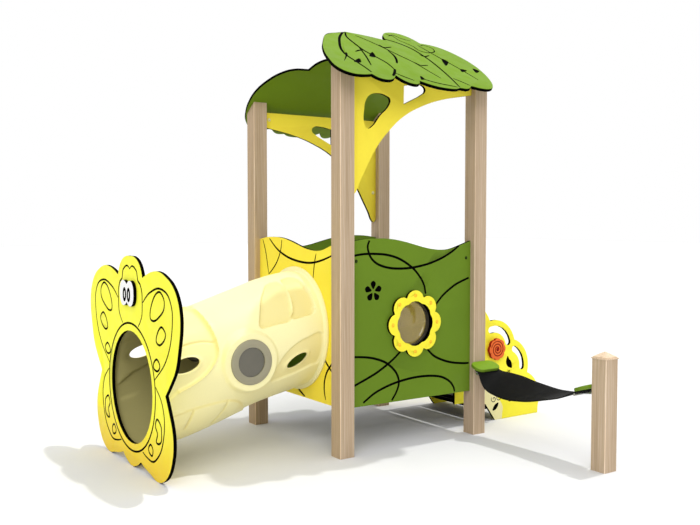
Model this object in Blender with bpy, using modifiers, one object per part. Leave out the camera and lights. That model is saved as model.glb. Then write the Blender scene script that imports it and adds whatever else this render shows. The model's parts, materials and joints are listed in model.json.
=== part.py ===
"""Canopy play structure for toddlers: a four-post tower with a leaf roof, a crawl tunnel that
ends in a butterfly gate, a low stair with cloud-shaped sides and a sling between two posts.

Metres, +Z up. The tunnel leaves the tower along -X, the stair along +X, the sling along -Y.
Pieces are placed from the tower's centre on the ground, and the whole stands centred on the
origin. Heights are measured from the ground.
"""
import math

import bmesh
import bpy
from mathutils import Matrix, Vector

# Timber posts
POST = 0.095
POST_CHAMFER = 0.005
BAY = 0.985
SLING_SPAN = 1.000
SHORT_POST_HEIGHT = 0.594
CAP_RIM = 0.006
CAP_RISE = 0.038
CAP_OVERHANG = 0.003
CAP_STEP_IN = 0.009
CAP_STEP = 0.005

# Plates, walls and arches
PLATE = 0.019
PANEL_BOTTOM = 0.268
PANEL_CREST = 1.216
PANEL_DIP = 0.073
ARCH_UNDER_ROOF = 0.0166
ARCH_OVER_PANEL = 0.091
ARCH_SLIM = 0.094
ARCH_FOOT = 0.018

# Leaf roof
FRONT_POST_HEIGHT = 2.160
ROOF_STEP = 0.158
ROOF_PITCH = math.radians(35)
ROOF_HALF_WIDTH = 0.611
ROOF_LENGTH = 0.857

# Deck
DECK_HEIGHT = 0.300
DECK_SHEET = 0.004
DECK_RAIL = 0.030
DECK_HOLE = 0.007
DECK_HOLE_ROWS = 9

# Tunnel
TUNNEL_LENGTH = 1.008
TUNNEL_RADIUS = 0.342
TUNNEL_WALL = 0.010
TUNNEL_HIGH = 0.677
TUNNEL_LOW = 0.427
TUNNEL_FLANGE = 0.025
TUNNEL_FLANGE_THICKNESS = 0.012
TUNNEL_RINGS = 34
TUNNEL_BORE_RINGS = 13
TUNNEL_SIDES = 40
PORTHOLE_FROM_TOWER = 0.487
PORTHOLE_RADIUS = 0.080
PORTHOLE_RING = 0.123
PORTHOLE_BOSS = 0.152
PORTHOLE_PROUD = 0.014
PORTHOLE_BORE = 0.092
PANE = 0.004
PANE_RADIUS = 0.098
TUNNEL_SWELL = 0.010
SOCKET_START = 0.670
SOCKET_DEPTH = 0.005
SOCKET_RIB = 0.006
HOOD_NEAR = 0.115
HOOD_FAR = 0.275
HOOD_DEPTH = 0.014
PEEP_LOW = 0.185
PEEP_HIGH = 0.845

# Gate and window
GATE_HOLE = 0.3025
GATE_HALF_WIDTH = 0.660
GATE_HEIGHT = 1.130
EYES_HALF_WIDTH = 0.102
EYES_HALF_HEIGHT = 0.068
EYES_BELOW_TOP = 0.198
WINDOW_HEIGHT = 0.716
WINDOW_RADIUS = 0.135
WINDOW_BULGE = 0.055
WINDOW_LIP = 0.034
WINDOW_SKIN = 0.003
WINDOW_CLAMP = 0.006
WINDOW_RIM = 0.129
FLOWER_RADIUS = 0.196
FLOWER_NOTCH = 0.83
FLOWER_PETALS = 8

# Stair
STAIR_WIDTH = 0.643
STAIR_REACH = 0.710
STAIR_LOBE = 0.190
STAIR_CREST = 0.589
TREAD_DEPTH = 0.250
TREAD = 0.025
SPINNER_RADIUS = 0.072
SPINNER_STAND_OFF = 0.012
SPACER_RADIUS = 0.018
AXLE = 0.010
AXLE_HEAD = 0.024
AXLE_NUT = 0.020
AXLE_NUT_HEIGHT = 0.008

# Sling
SLING_WIDTH = 0.180
SLING_SHEET = 0.006
SLING_ENTRY = 0.455
SLING_SAG = 0.120
SLING_TUCK = 0.045
COVER_LENGTH = 0.100
COVER_TILT = math.radians(21)
COVER_CORNER = 0.042
COVER_MARGIN = 0.004
HANGER_BAR = 0.014
HANGER_ROD = 0.010
HANGER_ARMS = 0.060
HANGER_FOOT = 0.060

# Steel clips
CLIP_LEG = 0.034
CLIP_STEEL = 0.004
CLIP_HEIGHT = 0.056
CLIP_FROM_EDGE = 0.126

# Clearances
FIT = 0.0003
BORE_PLAY = 0.0005
CURVE_STEPS = 4
ROUND = 12

HALF_BAY = BAY / 2
CLEAR = BAY - POST
SLING_CLEAR = SLING_SPAN - POST
COVER_GAP = PLATE / 2 * math.sin(COVER_TILT) + FIT
TOWER_FACE = HALF_BAY + POST / 2
PANEL_OUT = HALF_BAY + PLATE / 2
PANEL_IN = HALF_BAY - PLATE / 2
GATE_BACK = -PANEL_OUT - TUNNEL_LENGTH
GATE_FRONT = GATE_BACK - PLATE
STAIR_END = TOWER_FACE + STAIR_REACH
ARCH_TOP = FRONT_POST_HEIGHT + (TOWER_FACE - PANEL_OUT) * math.tan(ROOF_PITCH) - ARCH_UNDER_ROOF
ARCH_DROP = ARCH_TOP - ROOF_STEP - PANEL_CREST - ARCH_OVER_PANEL

FACING_FRONT = (math.pi / 2, 0, 0)
FACING_BACK = (math.pi / 2, 0, math.pi)
FACING_LEFT = (math.pi / 2, 0, -math.pi / 2)

# Colour, roughness and metallic value of each finish
FINISHES = {
    "timber": ((0.55, 0.40, 0.25), 0.65, 0.0),
    "yellow": ((0.95, 0.78, 0.06), 0.40, 0.0),
    "green": ((0.20, 0.38, 0.03), 0.45, 0.0),
    "leaf": ((0.28, 0.50, 0.05), 0.45, 0.0),
    "cream": ((0.90, 0.85, 0.45), 0.35, 0.0),
    "orange": ((0.90, 0.25, 0.06), 0.45, 0.0),
    "white": ((0.90, 0.90, 0.88), 0.40, 0.0),
    "grey": ((0.32, 0.31, 0.25), 0.45, 0.0),
    "smoke": ((0.16, 0.12, 0.07), 0.10, 0.0),
    "rubber": ((0.02, 0.02, 0.02), 0.75, 0.0),
    "steel": ((0.60, 0.60, 0.58), 0.30, 1.0),
    "deck": ((0.10, 0.10, 0.10), 0.60, 0.2),
}

CORNER = True


# Scene and small helpers

def clear_scene():
    for existing in list(bpy.data.objects):
        bpy.data.objects.remove(existing, do_unlink=True)


def collection(name):
    made = bpy.data.collections.new(name)
    bpy.context.scene.collection.children.link(made)
    return made


def finish(name, kind):
    colour, roughness, metallic = FINISHES[kind]
    made = bpy.data.materials.new(name)
    made.use_nodes = True
    shader = made.node_tree.nodes["Principled BSDF"]
    shader.inputs["Base Color"].default_value = (*colour, 1.0)
    shader.inputs["Roughness"].default_value = roughness
    shader.inputs["Metallic"].default_value = metallic
    return made


def add_object(name, data, kind, location=(0, 0, 0), rotation=(0, 0, 0)):
    """A named sub-part with its own finish, standing on the tower's centre."""
    made = bpy.data.objects.new(name, data)
    made.location = location
    made.rotation_euler = rotation
    made.parent = tower
    if not data.materials:
        data.materials.append(finish(name, kind))
    parts.objects.link(made)
    return made


def mesh_from(name, shape):
    """The mesh of a finished bmesh, with its faces pointing out."""
    bmesh.ops.recalc_face_normals(shape, faces=shape.faces)
    data = bpy.data.meshes.new(name)
    shape.to_mesh(data)
    shape.free()
    return data


def add_box(shape, size, centre):
    place = Matrix.Translation(centre) @ Matrix.Diagonal((*size, 1.0))
    bmesh.ops.create_cube(shape, size=1.0, matrix=place)


def add_rod(shape, start, end, radius, sides=ROUND):
    """Add a round rod to a bmesh between two points."""
    start, end = Vector(start), Vector(end)
    along = end - start
    turn = along.to_track_quat("Z", "Y").to_matrix().to_4x4()
    bmesh.ops.create_cone(shape, cap_ends=True, segments=sides, radius1=radius, radius2=radius,
                          depth=along.length, matrix=Matrix.Translation((start + end) / 2) @ turn)


def cutter(name, shape, location=(0, 0, 0), rotation=(0, 0, 0)):
    made = bpy.data.objects.new(name, mesh_from(name, shape))
    made.location = location
    made.rotation_euler = rotation
    made.parent = tower
    made.hide_render = True
    made.display_type = "WIRE"
    cutters.objects.link(made)
    return made


def combine(target, tool, operation):
    step = target.modifiers.new(operation.title() + " " + tool.name, "BOOLEAN")
    step.object = tool
    step.operation = operation
    step.solver = "EXACT"


def smooth_round(target, angle=40):
    target.data.shade_smooth()
    target.data.set_sharp_from_angle(angle=math.radians(angle))


# Flat plates

def smooth_loop(outline, points):
    """A closed curve through points; a point marked CORNER keeps its corner."""
    spline = outline.splines.new("BEZIER")
    spline.bezier_points.add(len(points) - 1)
    for knot, point in zip(spline.bezier_points, points):
        knot.co = (point[0], point[1], 0)
    for knot, point in zip(spline.bezier_points, points):
        kind = "VECTOR" if len(point) == 3 else "AUTO"
        knot.handle_left_type = kind
        knot.handle_right_type = kind
    spline.use_cyclic_u = True


def straight_loop(outline, points):
    spline = outline.splines.new("POLY")
    spline.points.add(len(points) - 1)
    for knot, point in zip(spline.points, points):
        knot.co = (point[0], point[1], 0, 1)
    spline.use_cyclic_u = True


def plate(name, kind, location, rotation, smooth=(), straight=(), thickness=PLATE):
    """A flat plate cut from its loops; its outer face is local +Z, half the thickness out."""
    outline = bpy.data.curves.new(name, "CURVE")
    outline.dimensions = "2D"
    outline.fill_mode = "BOTH"
    outline.extrude = thickness / 2
    outline.resolution_u = CURVE_STEPS
    for points in smooth:
        smooth_loop(outline, points)
    for points in straight:
        straight_loop(outline, points)
    return add_object(name, outline, kind, location, rotation)


def same_plate(name, original, kind, location, rotation):
    """A second plate cut to the same outline."""
    return add_object(name, original.data.copy(), kind, location, rotation)


def circle(radius, centre=(0, 0), sides=ROUND):
    return ellipse(radius, radius, centre, 0, sides)


def ellipse(long, short, centre=(0, 0), tilt=0.0, sides=ROUND):
    points = []
    for step in range(sides):
        turn = 2 * math.pi * step / sides
        along, across = long * math.cos(turn), short * math.sin(turn)
        points.append((centre[0] + along * math.cos(tilt) - across * math.sin(tilt),
                       centre[1] + along * math.sin(tilt) + across * math.cos(tilt)))
    return points


def flower(radius, notch, petals, sides=12, centre=(0, 0)):
    """A flower's outline: round petals that meet in notches at the notch radius."""
    points = []
    for step in range(petals * sides):
        turn = 2 * math.pi * step / (petals * sides)
        swell = abs(math.cos(petals * turn / 2)) ** 0.7
        reach = notch + (radius - notch) * swell
        points.append((centre[0] + reach * math.sin(turn), centre[1] + reach * math.cos(turn)))
    return points


def arc(centre, radius, start, end, steps):
    """Points on an arc, from one angle to another in degrees."""
    points = []
    for step in range(steps + 1):
        turn = math.radians(start + (end - start) * step / steps)
        points.append((centre[0] + radius * math.cos(turn), centre[1] + radius * math.sin(turn)))
    return points


def slot(centre, inner, outer, start, end, steps=6):
    """A curved hand slot with round ends, between two radii about a centre. It runs
    clockwise from one angle to another."""
    middle = (inner + outer) / 2
    half = (outer - inner) / 2
    first_tip, last_tip = arc(centre, middle, start, end, 1)
    points = arc(centre, outer, start, end, steps)
    points += arc(last_tip, half, end, end - 180, 5)[1:-1]
    points += arc(centre, inner, end, start, steps)
    points += arc(first_tip, half, start + 180, start, 5)[1:-1]
    return points


def mirrored(half):
    """A symmetric outline from its right half, which starts and ends on the middle line."""
    other = [(-point[0], *point[1:]) for point in reversed(half[1:-1])]
    return half + other


# Timber

def post(name, x, y, height, slope=0.0):
    """A square post; its top falls towards the outside of the roof at the given slope."""
    shape = bmesh.new()
    add_box(shape, (POST, POST, height), (0, 0, height / 2))
    upright = [edge for edge in shape.edges if abs(edge.verts[0].co.z - edge.verts[1].co.z) > POST]
    bmesh.ops.bevel(shape, geom=upright, offset=POST_CHAMFER, segments=2, profile=0.5,
                    affect="EDGES")
    for vertex in shape.verts:
        if vertex.co.z > height / 2:
            vertex.co.z += slope * (vertex.co.y + math.copysign(POST / 2, slope))
    return add_object(name, mesh_from(name, shape), "timber", (x, y, 0))


def posts():
    rise = math.tan(ROOF_PITCH)
    back_height = FRONT_POST_HEIGHT - ROOF_STEP
    post("post_front_left", -HALF_BAY, -HALF_BAY, FRONT_POST_HEIGHT, rise)
    post("post_front_right", HALF_BAY, -HALF_BAY, FRONT_POST_HEIGHT, rise)
    post("post_back_left", -HALF_BAY, HALF_BAY, back_height, -rise)
    post("post_back_right", HALF_BAY, HALF_BAY, back_height, -rise)
    post("post_short", HALF_BAY, -HALF_BAY - SLING_SPAN, SHORT_POST_HEIGHT)
    short_post_cap()


def short_post_cap():
    """An overhanging rim, a step in from it and a shallow pyramid."""
    side = POST + 2 * CAP_OVERHANG
    cap = bmesh.new()
    add_box(cap, (side, side, CAP_RIM), (0, 0, CAP_RIM / 2))
    top = max(cap.faces, key=lambda face: face.calc_center_median().z)
    bmesh.ops.inset_region(cap, faces=[top], thickness=CAP_STEP_IN)
    lifted = bmesh.ops.extrude_face_region(cap, geom=[top])["geom"]
    bmesh.ops.delete(cap, geom=[top], context="FACES_ONLY")
    crown = [item for item in lifted if isinstance(item, bmesh.types.BMFace)]
    corners = [item for item in lifted if isinstance(item, bmesh.types.BMVert)]
    bmesh.ops.translate(cap, verts=corners, vec=(0, 0, CAP_STEP))
    apex = bmesh.ops.poke(cap, faces=crown)["verts"]
    bmesh.ops.translate(cap, verts=apex, vec=(0, 0, CAP_RISE - CAP_RIM - CAP_STEP))
    add_object("post_short_cap", mesh_from("post_short_cap", cap), "timber",
               (HALF_BAY, -HALF_BAY - SLING_SPAN, SHORT_POST_HEIGHT + FIT))


# Walls and arches

def panel_outline():
    """Wall panel: square feet and a top edge that falls in one wave from crest to dip."""
    side = CLEAR / 2 - FIT
    wave = [(1.0, 0.30, CORNER), (0.81, 0.66), (0.63, 0.95), (0.50, 1.0), (0.34, 0.93),
            (0.20, 0.79), (0.05, 0.57), (-0.15, 0.28), (-0.38, 0.05), (-0.61, 0.0),
            (-0.79, 0.04), (-1.0, 0.22, CORNER)]
    top = [(share * side, PANEL_CREST - drop * PANEL_DIP, *corner) for share, drop, *corner in wave]
    return [(-side, PANEL_BOTTOM, CORNER), (side, PANEL_BOTTOM, CORNER)] + top


def wall_panels():
    opening = circle(TUNNEL_RADIUS - TUNNEL_WALL, (0, TUNNEL_HIGH), TUNNEL_SIDES)
    view = circle(WINDOW_RADIUS, (0, WINDOW_HEIGHT), 32)
    plate("panel_left", "yellow", (-HALF_BAY, 0, 0), FACING_LEFT, [panel_outline()], [opening])
    plate("panel_front", "green", (0, -HALF_BAY, 0), FACING_FRONT, [panel_outline()], [view])
    plate("panel_back", "green", (0, HALF_BAY, 0), FACING_BACK, [panel_outline()])


def from_arch_top(points):
    """Points given as shares of half the clear width and of the arch's drop from its top."""
    side = CLEAR / 2 - FIT
    return [(x * side, ARCH_TOP - fall * ARCH_DROP, *corner) for x, fall, *corner in points]


def arch_outline():
    """Arch bracket: full height down one post, then a sweep up to a slim end at the other."""
    side = CLEAR / 2 - FIT
    sweep = [(-0.9579, 1.0000), (-0.9220, 0.9830), (-0.8658, 0.9078), (-0.7713, 0.8028),
             (-0.6139, 0.6369), (-0.3868, 0.4752), (-0.1574, 0.3574), (0.1484, 0.2624),
             (0.4430, 0.2014), (0.8792, 0.1461)]
    foot = ARCH_TOP - ARCH_DROP + ARCH_FOOT
    return ([(-side, ARCH_TOP, CORNER), (-side, foot, CORNER)] + from_arch_top(sweep)
            + [(side, ARCH_TOP - ARCH_SLIM, CORNER), (side, ARCH_TOP, CORNER)])


def arch_cut_outs():
    egg = [(-0.7960, 0.3262), (-0.7938, 0.4426), (-0.7421, 0.4794), (-0.6859, 0.4681),
           (-0.5509, 0.3730), (-0.4093, 0.2837), (-0.3890, 0.2340), (-0.4542, 0.2085),
           (-0.5824, 0.1957), (-0.7151, 0.2170), (-0.7736, 0.2638)]
    leaf = [(-0.1709, 0.2638, CORNER), (0.0000, 0.2128), (0.1124, 0.1773), (0.1889, 0.1333),
            (0.1484, 0.0979), (0.0450, 0.0922), (-0.1664, 0.1135, CORNER)]
    return [from_arch_top(egg), from_arch_top(leaf)]


def arches():
    front = plate("arch_front", "yellow", (0, -HALF_BAY, 0), FACING_FRONT,
                  [arch_outline()] + arch_cut_outs())
    same_plate("arch_back", front, "yellow", (0, HALF_BAY, -ROOF_STEP), FACING_BACK)


# Leaf roof

def roof_outline():
    """A cluster of overlapping leaves. X runs along the eave and Y up the slope, both from
    the point over the tower's centre, as shares of the widest leaf's reach and of the roof's
    length; each notch between two leaves is a corner."""
    leaves = [(-0.4550, -0.2544, CORNER), (-0.5696, -0.2870), (-0.7201, -0.3384),
              (-0.8429, -0.4574), (-0.9493, -0.6009), (-1.0000, -0.7445), (-0.9951, -0.8693),
              (-0.9083, -0.9300), (-0.7692, -0.9335), (-0.6694, -0.9125, CORNER),
              (-0.6301, -0.9545), (-0.5565, -0.9720), (-0.4566, -0.9452),
              (-0.3879, -0.8903, CORNER), (-0.3421, -0.9592), (-0.2602, -0.9918),
              (-0.1882, -0.9743), (-0.1522, -0.9335, CORNER), (-0.0327, -0.9802),
              (0.1146, -1.0000), (0.2455, -0.9918), (0.2995, -0.9708, CORNER), (0.4010, -0.9708),
              (0.4992, -0.9183, CORNER), (0.6056, -0.9405), (0.7365, -0.9300), (0.8314, -0.8693),
              (0.9002, -0.7585), (0.9280, -0.6418), (0.9165, -0.5251), (0.8511, -0.4142),
              (0.7610, -0.3326), (0.6383, -0.2800), (0.4697, -0.2660, CORNER), (0.4173, -0.1925),
              (0.3110, -0.1400), (0.1718, -0.1424), (0.0573, -0.1984), (0.0000, -0.3057, CORNER),
              (-0.1800, -0.2754), (-0.3502, -0.2590)]
    return [(x * ROOF_HALF_WIDTH, y * ROOF_LENGTH, *corner) for x, y, *corner in leaves]


def roof_place(front):
    """Where a roof plate's middle plane lies over the tower's centre, and its turn."""
    lift = PLATE / 2 + FIT
    under = FRONT_POST_HEIGHT + math.tan(ROOF_PITCH) * TOWER_FACE
    side = 1 if front else -1
    height = under + lift * math.cos(ROOF_PITCH) - (0 if front else ROOF_STEP)
    place = (0, -side * lift * math.sin(ROOF_PITCH), height)
    return place, (ROOF_PITCH, 0, 0 if front else math.pi)


def roof():
    place, turn = roof_place(front=True)
    front = plate("roof_front", "leaf", place, turn, [roof_outline()])
    place, turn = roof_place(front=False)
    same_plate("roof_back", front, "leaf", place, turn)


# Steel clips

def clip(name, corner, quarter_turns, height):
    """A short steel angle in the corner between a plate and what it is fixed to. Its legs
    point along +X and +Y before it is turned."""
    leg, thick = CLIP_LEG, CLIP_STEEL
    section = [(0, 0), (leg, 0), (leg, thick), (thick, thick), (thick, leg), (0, leg)]
    plate(name, "steel", (*corner, height), (0, 0, quarter_turns * math.pi / 2), (), [section],
          CLIP_HEIGHT)


def wall_clips():
    """Two clips at each end of each wall, on the side towards the deck."""
    at_post = CLEAR / 2 - FIT
    at_wall = PANEL_IN - FIT
    for level, height in (("upper", PANEL_CREST - CLIP_FROM_EDGE),
                          ("lower", PANEL_BOTTOM + CLIP_FROM_EDGE)):
        clip("clip_left_front_" + level, (-at_wall, -at_post), 0, height)
        clip("clip_left_back_" + level, (-at_wall, at_post), 3, height)
        clip("clip_front_left_" + level, (-at_post, -at_wall), 0, height)
        clip("clip_front_right_" + level, (at_post, -at_wall), 1, height)
        clip("clip_back_left_" + level, (-at_post, at_wall), 3, height)
        clip("clip_back_right_" + level, (at_post, at_wall), 2, height)


# Deck

def deck():
    """A perforated sheet notched round the posts, on two rails and three joists."""
    top = DECK_HEIGHT
    edge = PANEL_IN - FIT
    inner = CLEAR / 2 - FIT
    outline = []
    for sx, sy in ((-1, -1), (1, -1), (1, 1), (-1, 1)):
        notch = [(sx * edge, sy * inner), (sx * inner, sy * inner), (sx * inner, sy * edge)]
        outline += notch if sx * sy > 0 else notch[::-1]
    pitch = 2 * inner / (DECK_HOLE_ROWS + 1)
    holes = []
    for row in range(DECK_HOLE_ROWS):
        for column in range(DECK_HOLE_ROWS):
            place = ((column + 1) * pitch - inner, (row + 1) * pitch - inner)
            holes.append(circle(DECK_HOLE, place, 6))
    plate("deck_sheet", "deck", (0, 0, top - DECK_SHEET / 2), (0, 0, 0), (), [outline] + holes,
          DECK_SHEET)

    rail_top = top - DECK_SHEET - FIT
    rail_middle = rail_top - DECK_RAIL / 2
    for name, side in (("deck_rail_left", -1), ("deck_rail_right", 1)):
        rail = bmesh.new()
        reach = CLEAR - 2 * FIT
        place = side * (PANEL_IN - FIT - DECK_RAIL / 2)
        add_box(rail, (DECK_RAIL, reach, DECK_RAIL), (place, 0, rail_middle))
        add_object(name, mesh_from(name, rail), "steel")
    for name, along in (("deck_joist_front", -1), ("deck_joist_middle", 0), ("deck_joist_back", 1)):
        joist = bmesh.new()
        reach = 2 * (PANEL_IN - DECK_RAIL - 2 * FIT)
        place = along * (CLEAR / 2 - DECK_RAIL)
        add_box(joist, (reach, DECK_RAIL, DECK_RAIL), (0, place, rail_middle))
        add_object(name, mesh_from(name, joist), "steel")


# Tunnel

def tunnel_axis(reach):
    """Height of the tunnel's middle line at a distance from the tower wall."""
    share = reach / TUNNEL_LENGTH
    fall = share - 0.05 * math.sin(2 * math.pi * share)
    return TUNNEL_HIGH + (TUNNEL_LOW - TUNNEL_HIGH) * fall


def bump(distance, width):
    """1 at a line and 0 beyond its width, with a round shoulder."""
    share = min(abs(distance) / width, 1.0)
    return (1 - share * share) ** 2


def ease(value, start, end):
    """0 before a start and 1 after an end, with round shoulders."""
    share = min(max((value - start) / (end - start), 0.0), 1.0)
    return share * share * (3 - 2 * share)


def tunnel_relief(reach, around):
    """How far the moulded skin stands out of the plain tube: a swell at the tower, two arched
    hollows in it, and a rib with a step down to the gate. around is 0 at the top and a
    quarter turn at either side."""
    lift = TUNNEL_SWELL * bump(reach - 0.16, 0.22)
    arched = bump(around - 0.75, 0.50)
    lift -= HOOD_DEPTH * arched * (bump(reach - HOOD_NEAR, 0.055) + bump(reach - HOOD_FAR, 0.085))
    start = SOCKET_START + 0.7 * max(around - 1.2, 0.0) ** 1.6
    lift += SOCKET_RIB * bump(reach - start, 0.036)
    return lift - SOCKET_DEPTH * ease(reach, start, start + 0.024)


def tunnel_ring(shape, reach, radius, relief):
    ring = []
    centre = tunnel_axis(reach)
    for step in range(TUNNEL_SIDES):
        turn = 2 * math.pi * step / TUNNEL_SIDES
        around = turn if turn <= math.pi else 2 * math.pi - turn
        size = radius + (tunnel_relief(reach, around) if relief else 0)
        ring.append(shape.verts.new((-PANEL_OUT - FIT - reach, size * math.sin(turn),
                                     centre + size * math.cos(turn))))
    return ring


def tunnel_tube(sections):
    """A closed loft through rings, each a reach, a radius and whether the skin has relief."""
    shape = bmesh.new()
    rings = [tunnel_ring(shape, *section) for section in sections]
    for near, far in zip(rings, rings[1:]):
        for step in range(TUNNEL_SIDES):
            following = (step + 1) % TUNNEL_SIDES
            shape.faces.new((near[step], near[following], far[following], far[step]))
    shape.faces.new(rings[0])
    shape.faces.new(rings[-1][::-1])
    return shape


def tunnel():
    length = TUNNEL_LENGTH - 2 * FIT
    rim = TUNNEL_RADIUS + TUNNEL_FLANGE
    thick = TUNNEL_FLANGE_THICKNESS
    sections = [(0, rim, False), (thick, rim, False), (thick + 0.006, TUNNEL_RADIUS + 0.006, False)]
    inside = length - 2 * thick - 0.012
    for step in range(TUNNEL_RINGS):
        reach = thick + 0.016 + (inside - 0.020) * step / (TUNNEL_RINGS - 1)
        sections.append((reach, TUNNEL_RADIUS, True))
    sections += [(length - thick, TUNNEL_RADIUS + 0.004, False), (length, TUNNEL_RADIUS + 0.004, False)]
    skin = add_object("tunnel_body", mesh_from("tunnel_body", tunnel_tube(sections)), "cream")

    boss = bmesh.new()
    middle = tunnel_axis(PORTHOLE_FROM_TOWER)
    spot = Vector((-PANEL_OUT - PORTHOLE_FROM_TOWER, 0, middle))
    reach = TUNNEL_RADIUS + PORTHOLE_PROUD
    add_rod(boss, spot - Vector((0, reach, 0)), spot + Vector((0, reach, 0)), PORTHOLE_BOSS, 28)
    combine(skin, cutter("porthole_bosses", boss), "UNION")

    bore_sections = [(-0.010, TUNNEL_RADIUS - TUNNEL_WALL, False)]
    steps = TUNNEL_BORE_RINGS
    for step in range(steps + 1):
        bore_sections.append((length * step / steps, TUNNEL_RADIUS - TUNNEL_WALL, False))
    bore_sections.append((length + 0.010, TUNNEL_RADIUS - TUNNEL_WALL, False))
    combine(skin, cutter("tunnel_bore", tunnel_tube(bore_sections)), "DIFFERENCE")

    windows = bmesh.new()
    far = 2 * reach
    add_rod(windows, spot - Vector((0, far, 0)), spot + Vector((0, far, 0)), PORTHOLE_BORE, 28)
    combine(skin, cutter("porthole_bore", windows), "DIFFERENCE")

    seats = bmesh.new()
    depth = PORTHOLE_PROUD * 0.6
    for side in (-1, 1):
        start = spot + Vector((0, side * (reach - depth), 0))
        add_rod(seats, start, spot + Vector((0, side * far, 0)), PORTHOLE_RING + FIT, 28)
    combine(skin, cutter("porthole_seats", seats), "DIFFERENCE")

    for number, (along, drop, long, short, tilt) in enumerate(eye_holes()):
        eye = bmesh.new()
        outline = ellipse(long, short, (0, 0), tilt, 14)
        ends = []
        for side in (-1, 1):
            ends.append([eye.verts.new((x, side * far, z)) for x, z in outline])
        for step in range(len(outline)):
            following = (step + 1) % len(outline)
            eye.faces.new((ends[0][step], ends[0][following], ends[1][following], ends[1][step]))
        eye.faces.new(ends[0][::-1])
        eye.faces.new(ends[1])
        place = (-PANEL_OUT - along, 0, tunnel_axis(along) + drop)
        combine(skin, cutter("eye_hole_" + str(number + 1), eye, place), "DIFFERENCE")
    smooth_round(skin, 35)
    portholes(spot, reach, depth)


def eye_holes():
    """Peep holes through both sides: distance from the tower, height over the axis, half
    length, half height and tilt."""
    return [(PEEP_LOW, -0.105, 0.072, 0.030, math.radians(28)),
            (PEEP_HIGH, 0.110, 0.085, 0.040, math.radians(14))]


def portholes(spot, reach, depth):
    """A grey clamp ring and a tinted pane in each boss."""
    for name, side in (("front", -1), ("back", 1)):
        turn = (math.pi / 2, 0, 0) if side < 0 else (-math.pi / 2, 0, 0)
        seat = spot.y + side * (reach - depth + FIT)
        pane = seat + side * PANE / 2
        plate("porthole_pane_" + name, "smoke", (spot.x, pane, spot.z), turn, (),
              [circle(PANE_RADIUS, (0, 0), 28)], PANE)
        thick = depth - PANE + 0.004
        ring = pane + side * (PANE / 2 + FIT + thick / 2)
        plate("porthole_ring_" + name, "grey", (spot.x, ring, spot.z), turn, (),
              [circle(PORTHOLE_RING, (0, 0), 28), circle(PORTHOLE_RADIUS, (0, 0), 28)], thick)


# Butterfly gate

def butterfly_half():
    """Right half of the butterfly, from the top of its head to the foot between its wings, as
    shares of the half width and the height."""
    wing = [(0.0000, 1.0000), (0.1061, 0.9956), (0.2030, 0.9690), (0.2545, 0.9310),
            (0.2742, 0.9044, CORNER), (0.3788, 0.9257), (0.4924, 0.9398), (0.6136, 0.9416),
            (0.7515, 0.9212), (0.8712, 0.8867), (0.9576, 0.8319), (0.9970, 0.7717),
            (1.0000, 0.7080), (0.9712, 0.6345), (0.9091, 0.5310), (0.8136, 0.4619),
            (0.7152, 0.4027, CORNER), (0.7879, 0.3292), (0.8424, 0.2611), (0.8576, 0.2018),
            (0.8348, 0.1327), (0.7621, 0.0593), (0.6515, 0.0142), (0.5303, 0.0000),
            (0.4091, 0.0142), (0.2955, 0.0265), (0.2000, 0.0425, CORNER), (0.1136, 0.0150),
            (0.0000, 0.0000)]
    return [(x * GATE_HALF_WIDTH, z * GATE_HEIGHT, *corner) for x, z, *corner in wing]


def eyes_half():
    """Right half of two joined ovals, as shares of their half width and half height."""
    oval = [(0.0000, 0.7059, CORNER), (0.2157, 0.9118), (0.5392, 1.0000), (0.8627, 0.7353),
            (1.0000, 0.0000), (0.8627, -0.7353), (0.5392, -1.0000), (0.2157, -0.9118),
            (0.0000, -0.7059, CORNER)]
    return [(x * EYES_HALF_WIDTH, z * EYES_HALF_HEIGHT, *corner) for x, z, *corner in oval]


def gate():
    hole = circle(GATE_HOLE, (0, TUNNEL_LOW), TUNNEL_SIDES)
    middle = (GATE_BACK + GATE_FRONT) / 2
    plate("butterfly_gate", "yellow", (middle, 0, 0), FACING_LEFT, [mirrored(butterfly_half())],
          [hole])
    eyes_out, eyes_up = GATE_FRONT - FIT - PLATE / 2, GATE_HEIGHT - EYES_BELOW_TOP
    plate("butterfly_eyes", "white", (eyes_out, 0, eyes_up), FACING_LEFT,
          [mirrored(eyes_half())])


# Window in the front wall

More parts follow.
